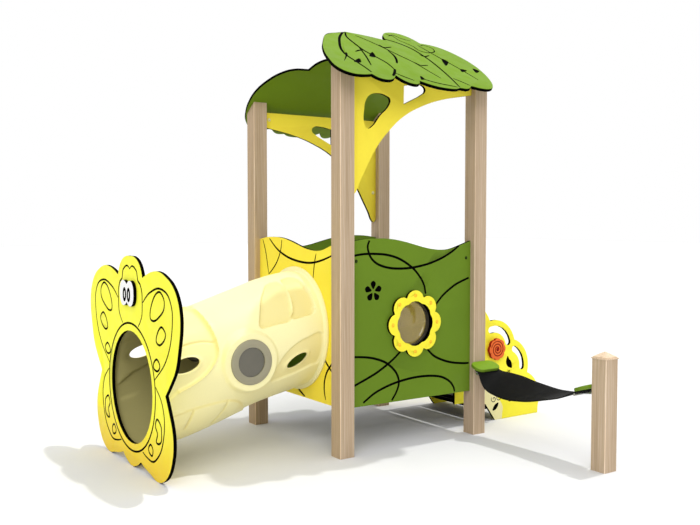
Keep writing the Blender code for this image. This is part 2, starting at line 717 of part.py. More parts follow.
def window():
    """Flower ring outside, tinted bubble and clamp ring inside."""
    ring_place = (0, -PANEL_OUT - FIT - PLATE / 2, WINDOW_HEIGHT)
    hole = flower(WINDOW_RADIUS - 0.004, WINDOW_RADIUS - 0.012, FLOWER_PETALS, 4)
    plate("window_flower_ring", "yellow", ring_place, FACING_FRONT, (),
          [flower(FLOWER_RADIUS, FLOWER_RADIUS * FLOWER_NOTCH, FLOWER_PETALS, 8), hole])

    lip = WINDOW_RADIUS + WINDOW_LIP
    rim = WINDOW_RIM
    steps = 6
    profile = []
    for step in range(steps):
        turn = math.pi / 2 * (1 - step / steps)
        profile.append((rim * math.cos(turn), WINDOW_BULGE * math.sin(turn)))
    profile += [(rim, 0), (lip, 0)]
    dome = bmesh.new()
    verts = [dome.verts.new((x, 0, z)) for x, z in profile]
    for pair in zip(verts, verts[1:]):
        dome.edges.new(pair)
    data = bpy.data.meshes.new("window_bubble")
    dome.to_mesh(data)
    dome.free()
    bubble = add_object("window_bubble", data, "smoke", (0, -PANEL_IN + FIT, WINDOW_HEIGHT),
                        FACING_BACK)
    turned = bubble.modifiers.new("Turn", "SCREW")
    turned.steps = 28
    turned.render_steps = 28
    turned.use_merge_vertices = True
    turned.merge_threshold = 0.0001
    wall = bubble.modifiers.new("Wall", "SOLIDIFY")
    wall.thickness = WINDOW_SKIN
    wall.offset = 1.0

    clamp_middle = -PANEL_IN + WINDOW_SKIN + 2 * FIT + WINDOW_CLAMP / 2
    plate("window_clamp_ring", "rubber", (0, clamp_middle, WINDOW_HEIGHT), FACING_FRONT, (),
          [circle(lip, (0, 0), 28), circle(rim + WINDOW_SKIN + 0.004, (0, 0), 28)], WINDOW_CLAMP)


# Stair

def stair_lobes():
    """Centres of the cloud's lobes, from the tower wall to the ground."""
    return [(TOWER_FACE + 0.0986 * STAIR_REACH, STAIR_CREST),
            (TOWER_FACE + 0.4028 * STAIR_REACH, 0.8048 * STAIR_CREST),
            (TOWER_FACE + 0.5789 * STAIR_REACH, 0.5806 * STAIR_CREST),
            (STAIR_END - STAIR_LOBE, 0.60 * STAIR_LOBE)]


def meeting(first, second, radius):
    """The upper point where two circles of one radius cross."""
    apart = Vector((second[0] - first[0], second[1] - first[1]))
    middle = Vector(((first[0] + second[0]) / 2, (first[1] + second[1]) / 2))
    rise = math.sqrt(max(radius ** 2 - (apart.length / 2) ** 2, 0))
    normal = Vector((-apart.y, apart.x)).normalized()
    return middle + (normal if normal.y > 0 else -normal) * rise


def stair_outline():
    """The cloud-shaped side: round lobes along the top, a flat foot and a raised heel."""
    start = PANEL_IN
    lobes = stair_lobes()
    points = []
    enter = Vector((start, lobes[0][1] + math.sqrt(STAIR_LOBE ** 2 - (lobes[0][0] - start) ** 2)))
    for number, centre in enumerate(lobes):
        last = number == len(lobes) - 1
        leave = Vector((STAIR_END - 0.016, 0.0)) if last else meeting(centre, lobes[number + 1], STAIR_LOBE)
        first_angle = math.degrees(math.atan2(enter.y - centre[1], enter.x - centre[0]))
        final_angle = math.degrees(math.atan2(leave.y - centre[1], leave.x - centre[0]))
        if last:
            final_angle = -math.degrees(math.asin((centre[1] - 0.26 * STAIR_LOBE) / STAIR_LOBE))
        points += arc(centre, STAIR_LOBE, first_angle, final_angle, 10)[0 if number == 0 else 1:]
        enter = leave
    foot = TOWER_FACE + 0.418 * STAIR_REACH
    step = STAIR_REACH * 0.12
    heel = 0.246 * STAIR_CREST
    points += [(STAIR_END - 0.016, 0.0), (foot, 0.0), (foot - step, 0.79 * heel),
               (foot - 1.53 * step, heel), (start, heel)]
    return points


def stair_slots():
    lobes = stair_lobes()
    return [slot(lobes[1], 0.563 * STAIR_LOBE, 0.800 * STAIR_LOBE, 104, 16),
            slot(lobes[2], 0.574 * STAIR_LOBE, 0.790 * STAIR_LOBE, 64, -4)]


def tread_places():
    """Each tread's middle along X and its top height."""
    rise = DECK_HEIGHT / 3
    start = PANEL_IN + FIT
    return [("tread_upper", start + TREAD_DEPTH / 2, 2 * rise),
            ("tread_lower", start + TREAD_DEPTH * 1.5 - 0.010, rise)]


def stair():
    lobes = stair_lobes()
    hub = lobes[1]
    side = STAIR_WIDTH / 2 - PLATE / 2
    axle_hole = circle(AXLE / 2 + BORE_PLAY, hub, 12)
    cloud = [stair_outline()] + stair_slots()
    plate("stair_side_front", "yellow", (0, -side, 0), FACING_FRONT, (), cloud + [axle_hole])
    plate("stair_side_back", "yellow", (0, side, 0), FACING_FRONT, (), cloud)
    for name, middle, top in tread_places():
        tread = bmesh.new()
        reach = STAIR_WIDTH - 2 * PLATE - 2 * FIT
        add_box(tread, (TREAD_DEPTH, reach, TREAD), (0, 0, 0))
        bmesh.ops.bevel(tread, geom=tread.edges[:], offset=0.003, segments=1, affect="EDGES")
        add_object(name, mesh_from(name, tread), "deck", (middle, 0, top - TREAD / 2))

    inner = STAIR_WIDTH / 2 - PLATE - FIT
    height = DECK_HEIGHT - CLIP_HEIGHT / 2
    clip("stair_clip_front", (PANEL_IN, -inner), 0, height)
    clip("stair_clip_back", (PANEL_IN, inner), 3, height)
    spinner(hub, -side - PLATE / 2)


def spinner(hub, face):
    """The turning flower, its spacer and the axle bolt that holds it."""
    place = (hub[0], face - SPINNER_STAND_OFF - PLATE / 2, hub[1])
    plate("flower_spinner", "orange", place, FACING_FRONT, (),
          [flower(SPINNER_RADIUS, SPINNER_RADIUS * 0.9, FLOWER_PETALS, 6),
           circle(AXLE / 2 + BORE_PLAY, (0, 0), 12)])
    gap = SPINNER_STAND_OFF - 2 * FIT
    plate("spinner_spacer", "rubber", (hub[0], face - SPINNER_STAND_OFF / 2, hub[1]), FACING_FRONT, (),
          [circle(SPACER_RADIUS, (0, 0), 16), circle(AXLE / 2 + BORE_PLAY, (0, 0), 12)], gap)
    head = face - SPINNER_STAND_OFF - PLATE - FIT
    back = face + PLATE + FIT
    axle = bmesh.new()
    nut = back - head + AXLE_NUT_HEIGHT
    profile = [(0, -0.25 * AXLE_HEAD), (0.375 * AXLE_HEAD, -0.21 * AXLE_HEAD), (AXLE_HEAD / 2, 0),
               (AXLE / 2, 0), (AXLE / 2, back - head), (AXLE_NUT / 2, back - head),
               (AXLE_NUT / 2, nut), (0, nut)]
    verts = [axle.verts.new((x, z, 0)) for x, z in profile]
    edges = [axle.edges.new(pair) for pair in zip(verts, verts[1:])]
    bmesh.ops.spin(axle, geom=verts + edges, cent=(0, 0, 0), axis=(0, 1, 0), angle=2 * math.pi,
                   steps=16, use_merge=True)
    bmesh.ops.remove_doubles(axle, verts=axle.verts, dist=0.00001)
    made = add_object("spinner_axle", mesh_from("spinner_axle", axle), "steel", (hub[0], head, hub[1]))
    smooth_round(made)


# Sling

def smooth_height(points, distance):
    """Height at a distance on a smooth curve through points."""
    number = 0
    while number < len(points) - 2 and distance > points[number + 1][0]:
        number += 1
    before = points[max(number - 1, 0)]
    start, end = points[number], points[number + 1]
    after = points[min(number + 2, len(points) - 1)]
    span = end[0] - start[0]
    share = (distance - start[0]) / span
    leave = (end[1] - before[1]) / (end[0] - before[0]) * span
    arrive = (after[1] - start[1]) / (after[0] - start[0]) * span
    square, cube = share ** 2, share ** 3
    return ((2 * cube - 3 * square + 1) * start[1] + (cube - 2 * square + share) * leave
            + (3 * square - 2 * cube) * end[1] + (cube - square) * arrive)


def cover_underside(distance):
    """Height of a cover's underside at a distance from its post."""
    middle = COVER_GAP + COVER_LENGTH * math.cos(COVER_TILT) / 2
    height = SLING_ENTRY - COVER_LENGTH * math.sin(COVER_TILT) / 2 - PLATE / 2
    return height - (distance - middle) * math.tan(COVER_TILT) - PLATE / 2 / math.cos(COVER_TILT)


def sheet_under_cover(distance):
    return cover_underside(distance) - (FIT + SLING_SHEET / 2) / math.cos(COVER_TILT)


def sling_edges():
    """The sheet's two long edges between the covers: distance from the tower's post and
    height. The edge away from the stair hangs lower, most of all beside the tower."""
    start = COVER_GAP + COVER_LENGTH * math.cos(COVER_TILT)
    end = SLING_CLEAR - start
    entry = sheet_under_cover(start)
    near = [(0.0, 0.0), (0.014, 0.42), (0.07, 0.75), (0.17, 0.91), (0.29, 1.0), (0.435, 0.94),
            (0.57, 0.82), (0.73, 0.58), (0.89, 0.32), (1.0, 0.0)]
    far = [(0.0, 0.0), (0.14, 0.0), (0.27, 0.05), (0.39, 0.17), (0.50, 0.24), (0.60, 0.30),
           (0.66, 0.33), (0.78, 0.30), (0.84, 0.27), (0.93, 0.13), (1.0, 0.0)]
    near, far = [[(start + share * (end - start), entry - drop * SLING_SAG) for share, drop in edge]
                 for edge in (near, far)]
    return start, end, near, far


def sling_sheet():
    """A rubber sheet as an open grid with thickness; its ends lie tucked under the covers."""
    start, end, near, far = sling_edges()
    first, last = start - SLING_TUCK, end + SLING_TUCK
    rows, columns = 30, 4
    sheet = bmesh.new()
    bmesh.ops.create_grid(sheet, x_segments=columns, y_segments=rows, size=0.5)
    for vertex in sheet.verts:
        across = vertex.co.x + 0.5
        along = (1 - math.cos(math.pi * (0.5 - vertex.co.y))) / 2
        distance = first + along * (last - first)
        if distance <= start:
            height = sheet_under_cover(distance)
        elif distance >= end:
            height = sheet_under_cover(SLING_CLEAR - distance)
        else:
            height = ((1 - across) * smooth_height(near, distance)
                      + across * smooth_height(far, distance))
        vertex.co = (HALF_BAY + (across - 0.5) * SLING_WIDTH, -TOWER_FACE - distance, height)
    made = add_object("sling_sheet", mesh_from("sling_sheet", sheet), "rubber")
    skin = made.modifiers.new("Thickness", "SOLIDIFY")
    skin.thickness = SLING_SHEET
    skin.offset = 0.0
    smooth_round(made)


def sling_covers():
    """Rounded green plates, one leaning down from each post."""
    half = SLING_WIDTH / 2 + COVER_MARGIN
    outline = []
    for sx, sy, angle_start in ((1, 1, 0), (-1, 1, 90), (-1, -1, 180), (1, -1, 270)):
        centre = (sx * (half - COVER_CORNER), sy * (COVER_LENGTH / 2 - COVER_CORNER))
        outline += arc(centre, COVER_CORNER, angle_start, angle_start + 90, 4)
    middle = COVER_GAP + COVER_LENGTH * math.cos(COVER_TILT) / 2
    height = SLING_ENTRY - COVER_LENGTH * math.sin(COVER_TILT) / 2 - PLATE / 2
    for name, distance, lean in (("tower", middle, 1), ("post", SLING_CLEAR - middle, -1)):
        plate("sling_cover_" + name, "leaf", (HALF_BAY, -TOWER_FACE - distance, height),
              (lean * COVER_TILT, 0, 0), (), [outline])


def sling_hangers():
    """Steel hanger at each post: a foot under the cover, two arms and the bar that carries
    the end of the sheet."""
    bar_out = COVER_GAP + COVER_LENGTH * math.cos(COVER_TILT) - HANGER_BAR * 1.5
    below = (SLING_SHEET / 2 + FIT + HANGER_BAR / 2) / math.cos(COVER_TILT)
    bar_height = sheet_under_cover(bar_out) - below
    foot_out = FIT + CLIP_STEEL / 2
    foot_height = cover_underside(2 * foot_out) - FIT - HANGER_FOOT / 2
    half = SLING_WIDTH / 2 + COVER_MARGIN
    for name, post_at, lean in (("tower", 0.0, 1), ("post", SLING_CLEAR, -1)):
        bar_y = -TOWER_FACE - post_at - lean * bar_out
        foot_y = -TOWER_FACE - post_at - lean * foot_out
        bar = bmesh.new()
        add_rod(bar, (HALF_BAY - half, bar_y, bar_height), (HALF_BAY + half, bar_y, bar_height),
                HANGER_BAR / 2)
        hanger = add_object("sling_hanger_" + name, mesh_from("sling_hanger_" + name, bar), "steel")
        for hand, offset in (("left", -HANGER_ARMS / 2), ("right", HANGER_ARMS / 2)):
            arm = bmesh.new()
            x = HALF_BAY + offset
            add_rod(arm, (x, foot_y, foot_height), (x, bar_y, bar_height), HANGER_ROD / 2, 10)
            combine(hanger, cutter("arm_" + hand + "_" + name, arm), "UNION")
        foot = bmesh.new()
        add_box(foot, (HANGER_FOOT, CLIP_STEEL, HANGER_FOOT), (HALF_BAY, foot_y, foot_height))
        combine(hanger, cutter("hanger_foot_" + name, foot), "UNION")
        smooth_round(hanger)


def sling():
    sling_sheet()
    sling_covers()
    sling_hangers()


# Whole structure

def footprint_shift():
    """Where the tower's centre stands so that the whole is centred on the origin."""
    left = GATE_FRONT - FIT - PLATE
    front = -HALF_BAY - SLING_SPAN - POST / 2 - CAP_OVERHANG
    eave = -min(point[1] for point in roof_outline())
    back = eave * math.cos(ROOF_PITCH) + (PLATE + FIT) * math.sin(ROOF_PITCH)
    return (-(left + STAIR_END) / 2, -(front + back) / 2, 0)


def main():
    posts()
    wall_panels()
    arches()
    roof()
    wall_clips()
    deck()
    tunnel()
    gate()
    window()
    stair()
    sling()


clear_scene()
parts = collection("canopy_play_structure")
cutters = collection("cutters")
tower = bpy.data.objects.new("tower_centre", None)
tower.location = footprint_shift()
cutters.objects.link(tower)
main()
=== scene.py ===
"""Canopy play structure dressed for the render: three-layer plates with routed lines, laminated
timber, a rotomoulded tunnel, tinted domes, steel fittings and a rubber sling.

Metres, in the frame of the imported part. Outlines and routed lines are drawn in thousandths, in each
plate's own plane, from the tower's centre, with heights from the ground.
"""
import math

import bmesh
import bpy
import numpy as np
from mathutils import Matrix, Vector
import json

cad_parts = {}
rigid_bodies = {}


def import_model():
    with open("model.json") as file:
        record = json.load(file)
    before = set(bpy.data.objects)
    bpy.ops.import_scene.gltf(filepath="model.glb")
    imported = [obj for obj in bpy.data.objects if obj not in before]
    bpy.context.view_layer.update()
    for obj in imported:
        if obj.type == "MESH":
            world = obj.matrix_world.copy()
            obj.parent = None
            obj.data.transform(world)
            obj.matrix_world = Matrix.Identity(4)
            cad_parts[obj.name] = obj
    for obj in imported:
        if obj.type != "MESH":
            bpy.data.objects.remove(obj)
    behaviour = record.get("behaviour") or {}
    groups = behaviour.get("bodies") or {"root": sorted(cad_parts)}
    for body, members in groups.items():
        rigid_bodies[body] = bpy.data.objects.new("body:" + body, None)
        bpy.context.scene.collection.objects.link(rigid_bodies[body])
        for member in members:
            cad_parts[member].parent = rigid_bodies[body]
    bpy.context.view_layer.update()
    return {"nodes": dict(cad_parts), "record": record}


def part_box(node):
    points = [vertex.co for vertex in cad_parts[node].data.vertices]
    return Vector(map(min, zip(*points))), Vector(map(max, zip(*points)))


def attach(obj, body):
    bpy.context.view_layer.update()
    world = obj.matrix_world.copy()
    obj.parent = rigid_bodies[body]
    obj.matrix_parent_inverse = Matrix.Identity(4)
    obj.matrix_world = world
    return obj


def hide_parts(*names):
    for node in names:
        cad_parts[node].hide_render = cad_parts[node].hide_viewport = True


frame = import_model()
NODES = frame["nodes"]

first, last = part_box("post_front_left"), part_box("post_back_right")
CENTRE = Vector(((first[0].x + last[1].x) / 2, (first[0].y + last[1].y) / 2, 0))
POST = first[1].x - first[0].x
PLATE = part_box("panel_front")[1].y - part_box("panel_front")[0].y
WALL = CENTRE.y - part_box("panel_front")[0].y
TUNNEL_LENGTH = 1.008
TUNNEL_WALL = 0.010
TUNNEL_RADIUS = 0.342
TUNNEL_HIGH, TUNNEL_LOW = 0.677, 0.427


# Node materials

def srgb(red, green, blue):
    """Linear colour from the 0 to 255 values that the eye compares."""
    shares = [value / 255 for value in (red, green, blue)]
    return tuple(s / 12.92 if s <= 0.04 else ((s + 0.055) / 1.055) ** 2.4 for s in shares) + (1.0,)


def shaded(colour, factor):
    return tuple(min(c * factor, 1.0) for c in colour[:3]) + (1.0,)


class Nodes:
    """A node tree, built up step by step."""

    def __init__(self, tree, coordinates):
        self.tree = tree
        self.place = self.node("TexCoord", {}).outputs[coordinates]

    def node(self, kind, sockets, **settings):
        """A node with its settings, whose sockets are linked or set to numbers."""
        made = self.tree.nodes.new("ShaderNode" + kind)
        for name, value in settings.items():
            setattr(made, name, value)
        for name, value in sockets.items():
            if isinstance(value, bpy.types.NodeSocket):
                self.tree.links.new(value, made.inputs[name])
            else:
                made.inputs[name].default_value = value
        return made

    def split(self, vector):
        return self.node("SeparateXYZ", {0: vector}).outputs

    def moved(self, shift=(0, 0, 0), scale=(1, 1, 1), turn=(0, 0, 0)):
        sockets = {"Vector": self.place, "Location": shift, "Scale": scale, "Rotation": turn}
        return self.node("Mapping", sockets).outputs["Vector"]

    def noise(self, scale, detail=3.0, vector=None, distortion=0.0, roughness=0.5):
        sockets = {"Vector": vector or self.place, "Scale": scale, "Detail": detail,
                   "Distortion": distortion, "Roughness": roughness}
        return self.node("TexNoise", sockets).outputs["Fac"]

    def maths(self, operation, a, b=0.0):
        return self.node("Math", {0: a, 1: b}, operation=operation).outputs[0]

    def span(self, value, low, high, to_low=0.0, to_high=1.0, kind="SMOOTHSTEP"):
        sockets = {"Value": value, "From Min": low, "From Max": high, "To Min": to_low, "To Max": to_high}
        return self.node("MapRange", sockets, interpolation_type=kind).outputs["Result"]

    def mix(self, factor, a, b):
        return self.node("Mix", {0: factor, 6: a, 7: b}, data_type="RGBA").outputs[2]


class Paint(Nodes):
    """One material."""

    def __init__(self, name, colour, roughness, metallic=0.0, **sockets):
        self.material = bpy.data.materials.new(name)
        self.material.use_nodes = True
        super().__init__(self.material.node_tree, "Object")
        self.shader = self.tree.nodes["Principled BSDF"]
        sockets.update(Base_Color=colour, Roughness=roughness, Metallic=metallic)
        for socket, value in sockets.items():
            self.shader.inputs[socket.replace("_", " ")].default_value = value
        self.bumps = None

    def colour(self, value):
        self.tree.links.new(value, self.shader.inputs["Base Color"])

    def rough(self, value):
        self.tree.links.new(value, self.shader.inputs["Roughness"])

    def bump(self, height, strength, distance):
        """A bump laid over the earlier ones."""
        sockets = {"Height": height, "Strength": strength, "Distance": distance}
        if self.bumps is not None:
            sockets["Normal"] = self.bumps
        self.bumps = self.node("Bump", sockets).outputs["Normal"]
        self.tree.links.new(self.bumps, self.shader.inputs["Normal"])


def moulded_sheet(name, colour, seed=0.0, roughness=0.48, grain=1.0, foot_shade=None, gloss=0.08):
    """High-density polyethylene sheet: an orange-peel skin, a slight cloud and faint rubs. The colour
    given for the foot is painted shade: the sheet darkens towards its foot, where less light falls,
    with the heights where it begins and ends."""
    paint = Paint(name, colour, roughness, Specular_IOR_Level=gloss)
    shifted = paint.moved((seed, seed * 0.7, seed * 1.3))
    cloud = paint.noise(2.4, 3.0, shifted)
    fine = paint.noise(60.0, 4.0, shifted)
    base = paint.mix(paint.span(cloud, 0.3, 0.7), shaded(colour, 0.95), shaded(colour, 1.04))
    # Painted shade: towards its foot the sheet mixes into a darker colour.
    if foot_shade:
        foot, low, high = foot_shade
        base = paint.mix(paint.span(paint.split(paint.place)[2], low, high), foot, base)
    base = paint.mix(paint.span(fine, 0.35, 0.75, 0.0, 0.16), base, shaded(colour, 0.88))
    rubs = paint.noise(9.0, 5.0, paint.moved((seed, 0, 0), (7.0, 7.0, 1.0), (0.3, 0.5, 0.2)), 0.4, 0.7)
    worn = paint.span(rubs, 0.66, 0.78, 0.0, 0.25)
    paint.colour(paint.mix(worn, base, shaded(colour, 1.10)))
    paint.rough(paint.span(paint.noise(14.0, 3.0, shifted), 0.3, 0.7, roughness - 0.06, roughness + 0.12))
    paint.bump(paint.noise(340.0, 3.0, shifted), 0.22 * grain, 0.0006)
    paint.bump(paint.noise(900.0, 2.0, shifted), 0.16 * grain, 0.0004)
    return paint.material


def laminated_timber(name, middle, seed):
    """Three glued pine layers with straight grain along Z."""
    light, mid, dark = srgb(248, 228, 202), srgb(234, 208, 177), srgb(174, 147, 115)
    paint = Paint(name, mid, 0.62, Specular_IOR_Level=0.18)
    local = paint.split(paint.moved((-middle[0], -middle[1], seed * 3.1)))
    layers = [paint.maths("MULTIPLY", paint.maths("ADD", output, POST / 2), 3 / POST) for output in local[:2]]
    chances = []
    for layer, step, start in ((layers[0], 1.37, seed), (layers[1], 2.91, seed + 7.3)):
        number = paint.maths("ADD", paint.maths("MULTIPLY", paint.maths("FLOOR", layer), step), start)
        chance = paint.node("TexWhiteNoise", {"W": number}, noise_dimensions="1D")
        chances.append(chance.outputs["Value"])
    wander = paint.noise(1.0, 2.0, paint.moved((seed, 0, 0), (14, 14, 1.1)))
    stretched = paint.moved((seed * 0.31, seed * 0.17, seed), (1.0, 1.0, 0.035))
    waves = {"Vector": stretched, "Scale": 34.0, "Distortion": 5.0, "Detail": 2.0, "Detail Scale": 0.6}
    rings = paint.node("TexWave", waves, bands_direction="DIAGONAL").outputs["Fac"]
    fibres = paint.noise(1.0, 4.0, paint.moved((seed, seed, seed), (420, 420, 9)))
    streaks = paint.noise(1.0, 3.0, paint.moved((seed, 2, 3), (95, 95, 1.6)))
    base = paint.mix(paint.span(rings, 0.15, 0.95, 0.0, 0.75), light, mid)
    base = paint.mix(paint.span(streaks, 0.46, 0.70, 0.0, 0.70), base, dark)
    base = paint.mix(paint.maths("MULTIPLY", chances[0], 0.42), base, dark)
    base = paint.mix(paint.maths("MULTIPLY", chances[1], 0.30), base, light)
    base = paint.mix(paint.span(fibres, 0.3, 0.7, 0.0, 0.28), base, shaded(dark, 0.9))
    base = paint.mix(paint.span(wander, 0.3, 0.75, 0.0, 0.2), base, srgb(208, 172, 138))
    glue = 0.0
    for layer in layers:
        far = paint.maths("ABSOLUTE", paint.maths("SUBTRACT", paint.maths("FRACT", layer), 0.5))
        glue = paint.maths("MAXIMUM", glue, paint.span(far, 0.480, 0.498, 0.0, 0.5))
    paint.colour(paint.mix(glue, base, shaded(dark, 0.7)))
    paint.rough(paint.span(fibres, 0.3, 0.7, 0.52, 0.74))
    paint.bump(fibres, 0.35, 0.0008)
    paint.bump(rings, 0.10, 0.0008)
    return paint.material


def tunnel_shell(name, colour, roughness, recess_shade=None):
    """Rotomoulded polyethylene: waxy, faintly mottled, with a soft pebbled skin. The last colour, if
    given, is painted shade: the colour that it takes in recesses and along creases, where the mesh's
    attribute of that name rises."""
    paint = Paint(name, colour, roughness, Specular_IOR_Level=0.22)
    cloud = paint.noise(1.7, 3.0)
    speck = paint.noise(120.0, 4.0)
    base = paint.mix(paint.span(cloud, 0.3, 0.7), shaded(colour, 0.965), shaded(colour, 1.02))
    # Painted shade: darker in the skin's recesses and creases.
    if recess_shade:
        field = paint.node("Attribute", {}, attribute_name="recess_shade")
        base = paint.mix(field.outputs["Fac"], base, recess_shade)
    base = paint.mix(paint.span(speck, 0.42, 0.72, 0.0, 0.13), base, shaded(colour, 0.86))
    paint.colour(base)
    paint.rough(paint.span(paint.noise(18.0, 3.0), 0.3, 0.7, roughness - 0.07, roughness + 0.10))
    paint.bump(paint.noise(260.0, 3.0), 0.25, 0.0008)
    return paint.material


def galvanised(name, tone=1.0):
    """Hot-dip zinc: pale patches of spangle with a dull bloom."""
    base = shaded(srgb(188, 190, 190), tone)
    paint = Paint(name, base, 0.36, 1.0)
    cells = paint.node("TexVoronoi", {"Vector": paint.place, "Scale": 130.0}).outputs["Color"]
    grey = paint.node("RGBToBW", {0: cells}).outputs[0]
    tint = paint.mix(paint.span(grey, 0.1, 0.9), shaded(base, 0.80), shaded(base, 1.12))
    paint.colour(paint.mix(paint.span(paint.noise(22.0, 4.0), 0.4, 0.75, 0.0, 0.5), tint, shaded(base, 0.62)))
    paint.rough(paint.span(grey, 0.0, 1.0, 0.26, 0.48))
    paint.bump(paint.noise(420.0, 3.0), 0.18, 0.0004)
    return paint.material


def belt_rubber(name):
    """Reinforced rubber sheet with the print of its cloth."""
    base = srgb(19, 19, 19)
    paint = Paint(name, base, 0.75, Specular_IOR_Level=0.05)
    weave = []
    for turn in (math.pi / 4, -math.pi / 4):
        threads = {"Vector": paint.moved(turn=(0, 0, turn)), "Scale": 60.0}
        weave.append(paint.node("TexWave", threads).outputs["Fac"])
    cloth = paint.maths("MULTIPLY", weave[0], weave[1])
    dust = paint.noise(16.0, 5.0)
    shade = paint.mix(paint.span(cloth, 0.0, 1.0, 0.0, 0.4), base, srgb(28, 28, 28))
    paint.colour(paint.mix(paint.span(dust, 0.5, 0.8, 0.0, 0.3), shade, srgb(40, 39, 37)))
    paint.rough(paint.span(dust, 0.3, 0.8, 0.55, 0.8))
    paint.bump(cloth, 0.45, 0.0010)
    paint.bump(paint.noise(500.0, 2.0), 0.2, 0.0004)
    return paint.material


def tinted_acrylic(name, colour, clear):
    """Smoked acrylic with a few hairline scratches."""
    paint = Paint(name, colour, 0.06, IOR=1.49, Transmission_Weight=clear, Coat_Weight=0.4,
                  Coat_Roughness=0.03)
    haze = paint.noise(7.0, 4.0)
    paint.colour(paint.mix(paint.span(haze, 0.35, 0.7), shaded(colour, 0.93), shaded(colour, 1.06)))
    scratch = paint.noise(1.0, 6.0, paint.moved((0, 0, 0), (240, 30, 30), (0.4, 0.2, 0.9)), 1.5, 0.7)
    paint.rough(paint.span(scratch, 0.55, 0.8, 0.04, 0.16))
    return paint.material


# YELLOW, YELLOW_GATE and YELLOW_WALL stand for one yellow sheet: the wall copy is a little darker and the gate
# copy a little lighter, painted shade and painted light for how light falls on them.
YELLOW = moulded_sheet("yellow_sheet", srgb(255, 242, 66), 0.0)
# The gate's golden foot is painted shade, where less light reaches it.
YELLOW_GATE = moulded_sheet("yellow_gate_sheet", srgb(255, 250, 72), 0.4,
                            foot_shade=(srgb(250, 214, 60), 0.0, 0.42))
YELLOW_WALL = moulded_sheet("yellow_wall_sheet", srgb(255, 232, 72), 2.0)
GREEN = moulded_sheet("green_sheet", srgb(103, 132, 36), 1.0)
LEAF = moulded_sheet("leaf_sheet", srgb(114, 149, 28), 3.0)
# A darker copy of the leaf green for the roof's underside: painted shade.
LEAF_UNDERSIDE_SHADE = moulded_sheet("leaf_underside_shade", srgb(98, 124, 24), 4.0)
WHITE = moulded_sheet("white_sheet", srgb(246, 246, 244), 5.0)
ORANGE = moulded_sheet("orange_sheet", srgb(236, 112, 54), 6.0)
ORANGE_CORE = moulded_sheet("orange_core", srgb(140, 26, 10), 6.5)
CORE = moulded_sheet("black_core", srgb(3, 3, 3), 7.0, 0.7, 1.4, gloss=0.01)
TREAD = moulded_sheet("tread_sheet", srgb(46, 46, 48), 8.0, 0.6, 1.8)
GREY = moulded_sheet("grey_ring", srgb(155, 150, 128), 9.0)
BLACK_RUBBER = moulded_sheet("black_rubber", srgb(16, 16, 16), 10.0, 0.7, 2.0)
CAP = moulded_sheet("bolt_cap", srgb(40, 56, 14), 11.0, 0.35)
GOLD = moulded_sheet("golden_inlay", srgb(253, 206, 62), 13.0)
# Pale for the arch nuts, and painted light for the lit patch on the stair sides.
PALE_AND_PAINTED_LIGHT = moulded_sheet("pale_caps_and_painted_light", srgb(244, 236, 178), 12.0)
# The cream's second colour is painted shade for the tunnel's recesses and creases.
CREAM = tunnel_shell("cream_shell", srgb(250, 242, 184), 0.42, srgb(238, 225, 156))
# The lining is the same cream polyethylene; this darker copy is painted shade for the tunnel's inside.
LINING_SHADE = tunnel_shell("tunnel_lining_shade", srgb(162, 154, 100), 0.55)
STEEL = galvanised("galvanised_steel")
BRIGHT = galvanised("stainless_steel", 1.12)
DECK = galvanised("deck_steel", 0.55)
BELT = belt_rubber("belt_rubber")
SMOKE = tinted_acrylic("smoked_acrylic", srgb(186, 168, 108), 0.62)
# A darker, less clear copy of the smoked acrylic for the dome's straight wall: painted shade.
SMOKE_WALL_SHADE = tinted_acrylic("smoked_wall_shade", srgb(72, 68, 60), 0.15)
PANE = tinted_acrylic("smoked_pane", srgb(112, 108, 92), 0.35)


# Mesh helpers

PROUD = 0.0012


def linked(name, data):
    """A new object in the scene."""
    made = bpy.data.objects.new(name, data)
    bpy.context.scene.collection.objects.link(made)
    return made


def mesh_of(name, shape, materials=()):
    """A mesh from a bmesh, which it uses up."""
    data = bpy.data.meshes.new(name)
    shape.to_mesh(data)
    shape.free()
    for material in materials:
        data.materials.append(material)
    return data


def piece(name, shape, materials, body="structure", smooth=None, instead=None):
    """A finished piece from a bmesh, riding on its body, which may replace a node."""
    bmesh.ops.recalc_face_normals(shape, faces=shape.faces)
    made = linked(name, mesh_of(name, shape, materials))
    if smooth is not None:
        made.data.shade_smooth()
        made.data.set_sharp_from_angle(angle=math.radians(smooth))
    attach(made, body)
    if instead:
        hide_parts(instead)
    return made


def coat(node, material):
    """Give a node one material in place of its own."""
    node.data.materials.clear()
    node.data.materials.append(material)


def bake(target):
    """Apply an object's modifiers to its mesh."""
    graph = bpy.context.evaluated_depsgraph_get()
    done = bpy.data.meshes.new_from_object(target.evaluated_get(graph), preserve_all_data_layers=True,
                                           depsgraph=graph)
    target.modifiers.clear()
    target.data = done


def smooth_path(points, steps=6, closed=False):
    """A flowing line through points in a plane."""
    spots = [Vector(p) for p in points]
    count = len(spots)
    if count < 3 and not closed:
        return spots
    made = []
    for index in range(count if closed else count - 1):
        p1, p2 = spots[index], spots[(index + 1) % count]
        p0 = spots[index - 1] if closed or index > 0 else p1 * 2 - p2
        p3 = spots[(index + 2) % count] if closed or index + 2 < count else p2 * 2 - p1
        for step in range(steps):
            t = step / steps
            made.append(0.5 * ((2 * p1) + (p2 - p0) * t + (2 * p0 - 5 * p1 + 4 * p2 - p3) * t * t
                               + (3 * p1 - p0 - 3 * p2 + p3) * t ** 3))
    if not closed:
        made.append(spots[-1])
    return made


